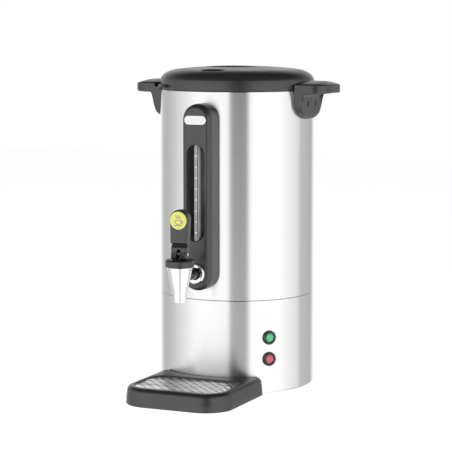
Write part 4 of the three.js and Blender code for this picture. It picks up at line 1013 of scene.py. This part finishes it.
class PERCOLATOR_OT_tap(Operator):
    """Makes the tap: shank, ring, spout, bonnet, valve and spring"""

    bl_idname = "percolator.tap"
    bl_label = "Tap"

    def execute(self, context):
        size = context.scene.percolator_tap
        place, height = mm(size.place), mm(size.height)
        laid, below = forwards_from(height), (0, -place)
        piece = turned_piece("shank_tube", [
            (3.6, 94), (8, 94), (8, 115), (10.5, 115), (10.5, 141.6), (7, 141.6), (7, place - 12.3),
            (3.6, place - 12.3),
        ], [0.4, 0.6, 0.3, 0.5, 0.6, 0.3, 0.4, 0.4], 4, 64, closed=True, matrix=laid)
        place_piece(piece, "base", "gloss_black", "tap_shank")
        piece = turned_piece("shank_ring", [
            (7.5, 142.3), (14.5, 142.3), (14.5, 144.2), (13.1, 146), (8.8, 146), (7.5, 144.6),
        ], [0.2, 0.3, 1.4, 1.2, 1.2, 0.4], 5, 96, closed=True, matrix=laid)
        place_piece(piece, "base", "chrome", "tap_escutcheon")
        piece = turned_piece("spout_funnel", [
            (9.1, 140.3), (9.5, 150), (12.3, 162.6), (14.9, 174.5), (17.5, 188.2), (16.35, 188.9),
            (16.35, 194), (14.8, 194), (14.8, 188.7), (12.3, 174.5), (9.85, 162.6), (8.4, 159.5),
            (5.8, 156), (5.8, 141), (6.9, 140.3),
        ], [
            0.5, 12, 20, 20, 0.6, 0.2, 0.4, 0.4, 2, 5, 2, 0.6, 0.8, 0.4, 0.4,
        ], 6, 112, closed=True, centre=below, sharp=50)
        place_piece(piece, "base", "polished_steel", "spout")
        piece = turned_piece("bonnet_cap", [
            (16.75, 189), (19.6, 189), (20.0, 189.5), (20.0, 197.2), (18.5, 198.6), (2.35, 198.6),
            (2.35, 194.4), (16.75, 194.4),
        ], [0.2, 0.4, 0.4, 1.4, 1.4, 0.3, 0.3, 0.3], 5, 112, closed=True, centre=below)
        place_piece(piece, "base", "satin_black", "tap_bonnet")
        piece = turned_piece("valve_cup", [
            (0, 156.3), (5.4, 156.3), (7.8, 159.5), (7.8, 166), (6, 172), (6, 178), (2.35, 178),
            (2.35, 166), (0, 166),
        ], [0, 1, 1, 2, 2, 0.5, 0.3, 0.3, 0], 5, 64, centre=below)
        place_piece(piece, "valve", "silicone", "seat_cup")
        low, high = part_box("tap_spring")
        wire = coil(place, low.z / MM - RAISE, high.z / MM - RAISE)
        piece = skin_piece("spring_coil", wire, ends=True)
        piece.data.materials.append(finish("steel_fittings"))
        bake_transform(piece)
        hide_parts("tap_spring")
        return {"FINISHED"}


class PERCOLATOR_OT_lever(Operator):
    """Makes the tap's lever, its pin and its disc"""

    bl_idname = "percolator.lever"
    bl_label = "Tap lever"

    def execute(self, context):
        size = context.scene.percolator_tap
        place = mm(size.place)
        lever = skin_piece("lever_paddle", lever_grid(size), ends=True, sharp=45)
        slot = stadium(3.1, 190, 213, 12)
        rings = np.array([standing(slot, y - place) for y in (-20, 4.9)])
        carve(lever, skin_piece("slot", rings, ends=True))
        place_piece(lever, "lever", "satin_black", "tap_lever")
        piece = turned_piece("pivot_pin", [
            (0, -12.3), (1.8, -12.3), (1.8, -5), (1.5, -4.7), (1.5, 4.7), (1.8, 5), (1.8, 12.3),
            (0, 12.3),
        ], [0, 0.5, 0.1, 0.1, 0.1, 0.1, 0.5, 0], 4, 32, matrix=sideways_at(-place, PIN_HEIGHT))
        place_piece(piece, "lever", "chrome", "lever_pin")
        radius, under, face = mm(size.disc), place + 3.4, place + 5.2
        centre = float(DISC_LOW[2] + DISC_HIGH[2]) / 2 - RAISE + 1.8
        piece = turned_piece("lever_badge", [
            (0, under), (radius, under), (radius, face), (radius - 0.4, face + 0.15),
            (0, face + 0.15),
        ], [0, 0.2, 0.2, 0.2, 0], 3, 96, matrix=forwards_from(centre))
        place_piece(piece, "lever", "yellow_paint", "lever_disc")
        front, ink_width = face + 0.1, 0.7
        round_part = arc(0, -0.4, 4.6, 5.0, 180, 360, 16)
        bowl = np.concatenate([[(-4.6, 0.6)], round_part, [(4.6, 0.6), (-4.6, 0.6)]])
        saucer = np.array([(-6.4, -6.6), (6.4, -6.6)])
        ear = arc(5.0, -1.8, 2.0, 1.9, 120, -100, 12)
        lines = [("cup_outline", bowl), ("cup_saucer", saucer), ("cup_ear", ear)]
        wave = np.linspace(0, 1, 16)
        for i, x in enumerate((-2.8, 0.0, 2.8), 1):
            steam = np.stack([x + 0.7 * np.sin(wave * 2 * np.pi), 2.4 + 5.2 * wave], axis=1)
            lines.append((f"cup_steam_{i}", steam))
        for name, path in lines:
            line = stroke(name, path + [0, centre - 0.2], ink_width, front)
            place_piece(line, "lever", "yellow_paint", look="blue_grey_ink")
        return {"FINISHED"}


# Lamps.


class PERCOLATOR_OT_lamps(Operator):
    """Makes the two indicator lamps"""

    bl_idname = "percolator.lamps"
    bl_label = "Lamps"

    def execute(self, context):
        bezel = [
            (0, -14), (6.6, -14), (6.6, 0.1), (10, 0.1), (10, 1.6), (8.6, 3.4), (7.3, 3.4),
            (6.4, 2.4), (6.4, -3), (0, -3),
        ]
        bezel_radii = [0, 0.4, 0.3, 0.3, 0.9, 1.0, 0.5, 0.3, 0.3, 0]
        lens = [(0, -2.7), (6.1, -2.7), (6.1, 2.0), (5.2, 3.2), (2.8, 3.9), (0, 4.1)]
        lens_radii = [0, 0.3, 0.8, 2, 3, 0]
        from_front = 47.9  # degrees round the base
        for colour, height in (("green", 78.4), ("red", 48.0)):
            matrix = outwards_at(from_front - 90, height, TANK_RADIUS)
            piece = turned_piece(f"{colour}_lamp_ring", bezel, bezel_radii, 5, 72, matrix=matrix)
            place_piece(piece, "base", "satin_black", f"{colour}_lamp_bezel")
            piece = turned_piece(f"{colour}_lamp_cap", lens, lens_radii, 5, 72, matrix=matrix)
            place_piece(piece, "base", f"{colour}_lens", f"{colour}_lamp_lens")
        return {"FINISHED"}


# Drip tray.

# The middle of the tray's plan, and the directions in which its rings are measured from there.
TRAY_CENTRE = np.array([0.0, -172.0])
TRAY_ANGLES = np.linspace(-np.pi, np.pi, 288, endpoint=False)
TRAY_RAYS = np.stack([np.cos(TRAY_ANGLES), np.sin(TRAY_ANGLES)], axis=1)

# The recess that holds the grille: half width, front, rear, front corners and rear corners.
WELL = (67.4, 215.8, 129.5, 27.0, 21.0)


def rounded_plan(half, front, rear, front_corner, rear_corner):
    """A rectangle with round corners, as points round the tray's centre."""
    corners = []
    for side, y, radius, start, steps in (
        (-1, -front + front_corner, front_corner, 180, 24),
        (1, -front + front_corner, front_corner, 270, 24),
        (1, -rear - rear_corner, rear_corner, 0, 12),
        (-1, -rear - rear_corner, rear_corner, 90, 12),
    ):
        corners.append(arc(side * (half - radius), y, radius, radius, start, start + 90, steps))
    return np.concatenate(corners)


def well_plan(inset):
    """The plan of the recess, drawn in by an inset."""
    half, front, rear, *corners = WELL
    corners = [radius - inset for radius in corners]
    return rounded_plan(half - inset, front - inset, rear + inset, *corners)


def by_angle(outline):
    """Distance of an outline from the tray's centre at each of the tray's angles."""
    across = outline - TRAY_CENTRE
    order = np.argsort(np.arctan2(across[:, 1], across[:, 0]))
    closed = across[np.append(order, order[0])]
    start, step = closed[:-1], np.diff(closed, axis=0)

    def crossed(first, second):
        return first[..., 0] * second[..., 1] - first[..., 1] * second[..., 0]

    ray = TRAY_RAYS[:, None]
    slope = crossed(ray, step[None])
    slope = np.where(np.abs(slope) < 1e-9, 1e-9, slope)
    reach = crossed(start, step)[None] / slope
    share = crossed(start[None], ray) / slope
    hits = (share >= -1e-6) & (share <= 1 + 1e-6) & (reach > 0)
    return np.where(hits, reach, np.inf).min(axis=1)


def base_distance(radius):
    """Distance from the tray's centre to the base's circle at each angle, or far away where the ray
    misses it."""
    across = TRAY_RAYS @ TRAY_CENTRE
    under = across**2 - (TRAY_CENTRE @ TRAY_CENTRE - radius**2)
    reach = -across - np.sqrt(np.clip(under, 0, None))
    return np.where((under > 0) & (reach > 0), reach, 1e6)


def tray_ring(distance, height):
    """A level ring of the tray at a distance for each angle."""
    plan = TRAY_CENTRE + np.asarray(distance)[..., None] * TRAY_RAYS
    return np.column_stack([plan, np.full(len(plan), height)])


def tray_grid(size):
    """Rings of the tray's plan, from its foot up the outer wall, over the round rim, down the
    recess to the grille's ledge and down the well to its floor. A ring's distance from the centre
    is the lesser of the rounded rectangle's and the base circle's."""
    half, front = mm(size.half_width), mm(size.front)
    height, corner = mm(size.height), mm(size.corner)
    rear, rear_corner, clear = 82.0, 8.0, TANK_RADIUS + 0.6  # clear of the base

    def outer(inset, level):
        rear_round = max(rear_corner - inset, 2.5)
        plan = rounded_plan(half - inset, front - inset, rear + inset, corner - inset, rear_round)
        distance = np.minimum(by_angle(plan), base_distance(clear + max(inset - 1.6, 0) * 0.35))
        return tray_ring(distance, level - RAISE)

    def well(inset, level):
        return tray_ring(by_angle(well_plan(inset)), level - RAISE)

    draft, edge, lip = 1.6, 6.5, 1.4  # lean of the wall, rounding of the rim, and of its inner edge
    rings = [outer(2.5, 0.6), outer(0.5, 0.0), outer(0.0, 0.5)]
    rings += [outer(draft * share, height - edge + (share - 1) * 12) for share in (0.4, 1.0)]
    for angle in np.radians(np.linspace(8, 90, 11)):
        level = height - edge + edge * math.sin(angle)
        rings.append(outer(draft + 6.6 * (1 - math.cos(angle)), level))
    for angle in np.radians(np.linspace(0, 90, 6)):
        rings.append(well(-lip * (1 - math.sin(angle)), height - lip * (1 - math.cos(angle))))
    ledge, floor = 21.7, 4.0
    inner = (
        (0, ledge), (4.6, ledge), (5, ledge - 0.4), (5.6, floor + 1.2), (6.4, floor + 0.2),
        (8, floor),
    )
    rings += [well(inset, level) for inset, level in inner]
    return np.array([tray_ring(0.001, 0.6 - RAISE)] + rings + [tray_ring(0.001, floor - RAISE)])


def grille_curve(outline, holes, half_thick):
    """A filled flat curve with holes, thickened and softly bevelled."""
    bevel = 0.12
    curve = bpy.data.curves.new("grille_sheet", "CURVE")
    curve.dimensions = "2D"
    curve.fill_mode = "BOTH"
    curve.extrude = (half_thick - bevel) * MM
    curve.bevel_depth = bevel * MM
    curve.bevel_resolution = 1
    for points in [outline, *holes]:
        spline = curve.splines.new("POLY")
        spline.points.add(len(points) - 1)
        flat = np.zeros((len(points), 4))
        flat[:, :2], flat[:, 3] = points * MM, 1
        spline.points.foreach_set("co", flat.ravel())
        spline.use_cyclic_u = True
    return curve


def grille_holes(pitch_x=7.2, pitch_y=7.3, middle=-172.65, margin=2.8):
    """Oval holes at every second point of a lattice, where they lie inside the recess's plan by a
    margin: past the start of a corner in both directions, a point's distance from the corner's
    centre is less than its radius."""
    half, front, rear, front_corner, rear_corner = WELL
    half, front, rear = half - margin, -front + margin, -rear - margin
    holes = []
    for row in range(-7, 7):
        for column in range(-10, 10):
            x, y = (column + 0.5) * pitch_x, (row + 0.5) * pitch_y + middle
            corner = (rear_corner if y > middle else front_corner) - margin
            aside, along = abs(x) - (half - corner), max(front + corner - y, y - rear + corner)
            inside = abs(x) <= half and front <= y <= rear
            inside &= min(aside, along) < 0 or math.hypot(aside, along) < corner
            if inside and (row + column) % 2 == 0:
                holes.append(arc(x, y, 2.3, 1.55, 0, 345, 23))
    return holes


class PERCOLATOR_OT_tray(Operator):
    """Makes the drip tray and its perforated grille"""

    bl_idname = "percolator.tray"
    bl_label = "Drip tray"

    def execute(self, context):
        size = context.scene.percolator_tray
        tray = skin_piece("tray_shell", tray_grid(size), sharp=50)
        place_piece(tray, "tray", "satin_black", "drip_tray")
        curve = grille_curve(well_plan(0.5), grille_holes(), half_thick=0.6)
        flat = new_piece("grille_flat", curve)
        mesh = evaluated_mesh(flat)
        bpy.data.objects.remove(flat)
        low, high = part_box("drip_grille")
        mesh.transform(Matrix.Translation((0, 0, (low.z + high.z) / 2)))
        mesh.name = "grille_plate"
        tidy_mesh(mesh, 30)
        plate = new_piece("grille_plate", mesh)
        place_piece(plate, "grille", "polished_steel", "drip_grille", look="grille_steel")
        # The walls of the grille's holes get the glossy black finish: painted shade for the shade
        # inside the holes.
        plate.data.materials.append(finish("glossy_black"))
        half, front, rear = (np.array(WELL[:3]) + [-1.5, -1.5, 1.5]) * MM
        for face in plate.data.polygons:
            x, y = face.center[:2]
            shaded_hole_wall = abs(face.normal[2]) < 0.8 and abs(x) < half and -front < y < -rear
            face.material_index = int(shaded_hole_wall)
        return {"FINISHED"}


# Brewing parts.


def drill(piece, rings, radius, low, high, steps):
    """Drills holes through a flat floor, in rings of (distance from the axis, count)."""
    rods, profile = [], [(0, low), (radius, low), (radius, high), (0, high)]
    for ring, count in rings:
        for i in range(count):
            angle = 2 * math.pi * i / count
            centre = (ring * math.cos(angle), ring * math.sin(angle))
            rods.append((turned(profile, steps, centre), True, False))
    carve(piece, surface_piece("holes", *rods))


class PERCOLATOR_OT_brewing(Operator):
    """Makes the pump tube, its washer, the filter basket and the spreader"""

    bl_idname = "percolator.brewing"
    bl_label = "Brewing parts"

    def execute(self, context):
        piece = turned_piece("pump_stem", [
            (8, 137.3), (31, 137.3), (31, 143.6), (13, 143.6), (6, 156), (6, 286), (8, 288),
            (8, 290), (6, 290), (6, 395), (4.8, 395), (4.8, 154), (12, 142.6), (30, 142.6),
            (30, 138.3), (8, 138.3),
        ], [0.3, 1.2, 1.2, 4, 6, 1, 0.5, 0.3, 0.4, 0.4, 0.4, 3, 2, 1, 0.6, 0.3], 5, 96, closed=True)
        place_piece(piece, "pump", "polished_steel", "pump_tube")
        piece = turned_piece("coffee_basket", [
            (6.6, 290.3), (70, 290.3), (70, 370.3), (72.5, 370.3), (72.5, 371.3), (69, 371.3),
            (69, 291.3), (8.6, 291.3), (8.6, 371.3), (6.6, 371.3),
        ], [0.3, 3, 0.5, 0.4, 0.4, 0.5, 2.5, 1, 0.4, 0.4], 5, 160, closed=True)
        drill(piece, ((16, 12), (26, 20), (36, 28), (46, 36), (56, 44)), 0.9, 288, 293, 8)
        place_piece(piece, "basket", "polished_steel", "filter_basket")
        piece = turned_piece("basket_cover", [
            (6.7, 371.6), (72.5, 371.6), (72.5, 377.8), (71.5, 377.8), (71.5, 372.6), (9, 372.6),
            (9, 378.6), (6.7, 378.6),
        ], [0.3, 1.2, 0.3, 0.3, 0.8, 0.6, 0.3, 0.3], 5, 160, closed=True)
        drill(piece, ((20, 8), (38, 16), (56, 24)), 1.3, 369, 375, 10)
        place_piece(piece, "spreader", "polished_steel", "basket_lid")
        washer = [(0, 138.6), (24, 138.6), (24, 139.6), (0, 139.6)]
        piece = turned_piece("pump_valve", washer, [0, 0.4, 0.4, 0], 3, 96)
        place_piece(piece, "washer", "plain_steel", "pump_washer")
        return {"FINISHED"}


# Finishes of the fittings.


class PERCOLATOR_OT_finishes(Operator):
    """Gives every node of the frame the finish of its slot"""

    bl_idname = "percolator.finishes"
    bl_label = "Finishes"

    def execute(self, context):
        slots = {part["node"]: part["material_slot"] for part in frame["record"]["subparts"]}
        for node, piece in frame["nodes"].items():
            # The stem's nearly black steel is painted shade; the handle screws take the same dark
            # finish.
            look = "darkened_steel" if node in DARKENED_NODES else SLOT_FINISHES[slots[node]]
            for slot in piece.material_slots:
                slot.material = finish(look)
        return {"FINISHED"}


# Stage.

# Brightness round the horizon that polished surfaces see: degrees from the camera's side to its
# right, the level just under the horizon, and the level further down where that is another.
SURROUND_BANDS = [
    (-180, 1.00), (-158, 1.00), (-146, 0.60), (-128, 0.60), (-112, 0.72), (-96, 0.90),
    (-82, 1.06), (-69, 1.24), (-57, 1.34), (-46, 1.34), (-36, 1.34), (-24, 1.30), (-14, 1.28),
    (-10, 0.40, 0.86), (-6, 0.16, 0.80), (11, 0.14, 0.74), (15, 0.36, 0.86), (18, 1.18),
    (24, 1.36), (62, 1.36), (70, 1.28), (80, 1.17), (92, 1.05), (104, 0.93), (109, 0.66),
    (128, 0.60), (142, 0.50, 0.54), (150, 0.62, 0.66), (160, 1.00), (180, 1.00),
]


def band_ramp(tree, share, column, peak):
    """A colour ramp of one column of the bands over the share of a full turn, as its socket."""
    ramp = add_node(tree, "ValToRGB", {"Fac": share})
    bands = ramp.color_ramp
    while len(bands.elements) < len(SURROUND_BANDS):
        bands.elements.new(1.0)
    for element, row in zip(bands.elements, SURROUND_BANDS):
        element.position = (row[0] + 180) / 360
        element.color = (*([row[column] / peak] * 3), 1)
    return ramp.outputs["Color"]


def surround_world(stage):
    """World light: even for matt surfaces, white to the camera, and for glossy ones a level that
    follows the angle round the horizon, as from soft panels set round the object. It gets dimmer
    overhead."""
    world = bpy.data.worlds.new("surround")
    world.use_nodes = True
    tree = world.node_tree
    tree.nodes.clear()

    def worked(operation, first, second=0.0):
        return add_node(tree, "Math", {0: first, 1: second}, operation=operation).outputs["Value"]

    place = add_node(tree, "TexCoord").outputs["Generated"]
    x, y, z = add_node(tree, "SeparateXYZ", {"Vector": place}).outputs
    turn = worked("SUBTRACT", worked("ARCTAN2", y, x), stage.azimuth - math.pi / 2 - math.pi)
    share = worked("FRACT", worked("DIVIDE", turn, 2 * math.pi))
    peak = max(max(row[1:]) for row in SURROUND_BANDS)
    upper, lower = (-math.sin(math.radians(below)) for below in (2.5, 11))
    falling = {"Value": z, "From Min": upper, "From Max": lower}
    fall = add_node(tree, "MapRange", falling).outputs["Result"]
    near, far = (band_ramp(tree, share, column, peak) for column in (1, -1))
    panels = add_node(tree, "Mix", {"Factor": fall, 6: near, 7: far}, data_type="RGBA").outputs[2]
    dimming = {"From Min": 0.12, "From Max": 0.75, "To Min": 1.0, "To Max": stage.ceiling}
    dimmer = add_node(tree, "MapRange", {"Value": z, **dimming}, interpolation_type="SMOOTHSTEP")
    ceiling = dimmer.outputs["Result"]
    strength = worked("MULTIPLY", ceiling, peak)
    glossy = add_node(tree, "Background", {"Color": panels, "Strength": strength})
    even = add_node(tree, "Background", {"Strength": worked("MULTIPLY", ceiling, stage.daylight)})
    white = add_node(tree, "Background", {"Color": (1, 1, 1, 1)})
    ray, shown = add_node(tree, "LightPath").outputs, even
    for kind, background in (("Glossy", glossy), ("Transmission", white), ("Camera", white)):
        levels = {"Fac": ray[f"Is {kind} Ray"], 1: shown.outputs[0], 2: background.outputs[0]}
        shown = add_node(tree, "MixShader", levels)
    add_node(tree, "OutputWorld", {"Surface": shown.outputs[0]})
    bpy.context.scene.world = world


def area_lamp(name, place, target, size, power):
    """A soft lamp aimed at a point, which lights the object but isn't mirrored in it."""
    light = bpy.data.lights.new(name, "AREA")
    light.shape = "RECTANGLE"
    light.size, light.size_y = size
    light.energy = power
    lamp = new_piece(name, light)
    lamp.location = place
    lamp.rotation_euler = (Vector(target) - Vector(place)).to_track_quat("-Z", "Y").to_euler()
    lamp.visible_glossy = False


def floor_finish():
    """White floor that shows the object's shadow faintly: to the camera it is a white glow plus a
    share of the light that it gets, and to every other ray it is white paint."""
    material, tree, shader = new_finish("floor_white", 0.9, Specular_IOR_Level=0.1)
    tinted(tree, shader, noise(tree, 3.0, 1.0), (1, 1, 1), 0.955, 0.965)
    glow = add_node(tree, "Emission", {"Color": (0.91, 0.91, 0.91, 1)})
    paint = add_node(tree, "BsdfDiffuse", {"Color": (0.45, 0.45, 0.45, 1)})
    both = add_node(tree, "AddShader", {0: glow.outputs[0], 1: paint.outputs[0]})
    to_camera = add_node(tree, "LightPath").outputs["Is Camera Ray"]
    shares = {"Fac": to_camera, 1: shader.outputs[0], 2: both.outputs[0]}
    mixer = add_node(tree, "MixShader", shares)
    tree.links.new(mixer.outputs[0], tree.nodes["Material Output"].inputs["Surface"])
    return material


class PERCOLATOR_OT_stage(Operator):
    """Makes the camera, the floor and the light"""

    bl_idname = "percolator.stage"
    bl_label = "Stage"

    def execute(self, context):
        stage = context.scene.percolator_stage
        east, north = math.sin(stage.azimuth), -math.cos(stage.azimuth)
        level = math.cos(stage.elevation)
        back = Vector((east * level, north * level, math.sin(stage.elevation)))
        right = Vector((-north, east, 0))
        aim_height, aim_left = 282.61 + RAISE, 16.15
        target = Vector((0, 0, aim_height * MM)) - right * (aim_left * MM)
        data = bpy.data.cameras.new("camera")
        data.lens = stage.lens
        data.sensor_width = 36
        data.shift_y = -40 / 452  # the picture's middle lies over the lens axis by this share
        data.clip_end = 50
        camera = new_piece("camera", data)
        camera.location = target + back * stage.distance
        camera.rotation_euler = back.to_track_quat("Z", "Y").to_euler()
        context.scene.camera = camera
        surround_world(stage)
        area_lamp("soft_left", (-1.6, -1.9, 0.7), (0, 0, 0.25), (1.6, 1.2), 36)
        area_lamp("soft_right", (2.2, -1.2, 0.7), (0, 0, 0.25), (1.4, 1.2), 26)
        area_lamp("soft_top", (0.1, 0.2, 2.6), (0, 0, 0), (2.0, 2.0), 3)
        reach, thick = 4000, 20
        floor = plain_block("floor", (-reach, -reach, -RAISE - thick), (reach, reach, -RAISE))
        floor.data.materials.append(floor_finish())
        floor.visible_glossy = False
        context.scene.view_settings.view_transform = "Standard"
        return {"FINISHED"}


class PERCOLATOR_PT_panel(Panel):
    """Lists the object's pieces and sizes"""

    bl_label = "Percolator"
    bl_idname = "PERCOLATOR_PT_panel"
    bl_space_type = "VIEW_3D"
    bl_region_type = "UI"
    bl_category = "Percolator"

    def draw(self, context):
        for group, operators in GROUPS:
            column = self.layout.column(align=True)
            settings = getattr(context.scene, settings_name(group))
            for name in settings.__annotations__:
                column.prop(settings, name)
            for operator in operators:
                column.operator(f"percolator.{operator}")


GROUPS = [
    (PercolatorTank, ["tank"]),
    (PercolatorLid, ["lid"]),
    (PercolatorHandles, ["handles"]),
    (PercolatorGauge, ["gauge"]),
    (PercolatorTap, ["tap", "lever"]),
    (PercolatorTray, ["tray", "lamps", "brewing"]),
    (PercolatorFinishes, ["finishes"]),
    (PercolatorStage, ["stage"]),
]

OPERATORS = [
    PERCOLATOR_OT_stage, PERCOLATOR_OT_finishes, PERCOLATOR_OT_tank, PERCOLATOR_OT_lid,
    PERCOLATOR_OT_handles, PERCOLATOR_OT_gauge, PERCOLATOR_OT_tap, PERCOLATOR_OT_lever,
    PERCOLATOR_OT_lamps, PERCOLATOR_OT_tray, PERCOLATOR_OT_brewing,
]


def settings_name(settings):
    """The scene's name for a group of settings, such as percolator_tank."""
    return settings.__name__.replace("Percolator", "percolator_").lower()


def register():
    """Registers the classes and gives the scene its settings."""
    for settings, _ in GROUPS:
        bpy.utils.register_class(settings)
        setattr(bpy.types.Scene, settings_name(settings), PointerProperty(type=settings))
    for operator in OPERATORS:
        bpy.utils.register_class(operator)
    bpy.utils.register_class(PERCOLATOR_PT_panel)


def unregister():
    """Undoes register."""
    bpy.utils.unregister_class(PERCOLATOR_PT_panel)
    for operator in reversed(OPERATORS):
        bpy.utils.unregister_class(operator)
    for settings, _ in reversed(GROUPS):
        delattr(bpy.types.Scene, settings_name(settings))
        bpy.utils.unregister_class(settings)


def main():
    """Makes the whole object and its stage."""
    register()
    for operator in OPERATORS:
        group, name = operator.bl_idname.split(".")
        getattr(getattr(bpy.ops, group), name)()


if __name__ == "__main__":
    main()
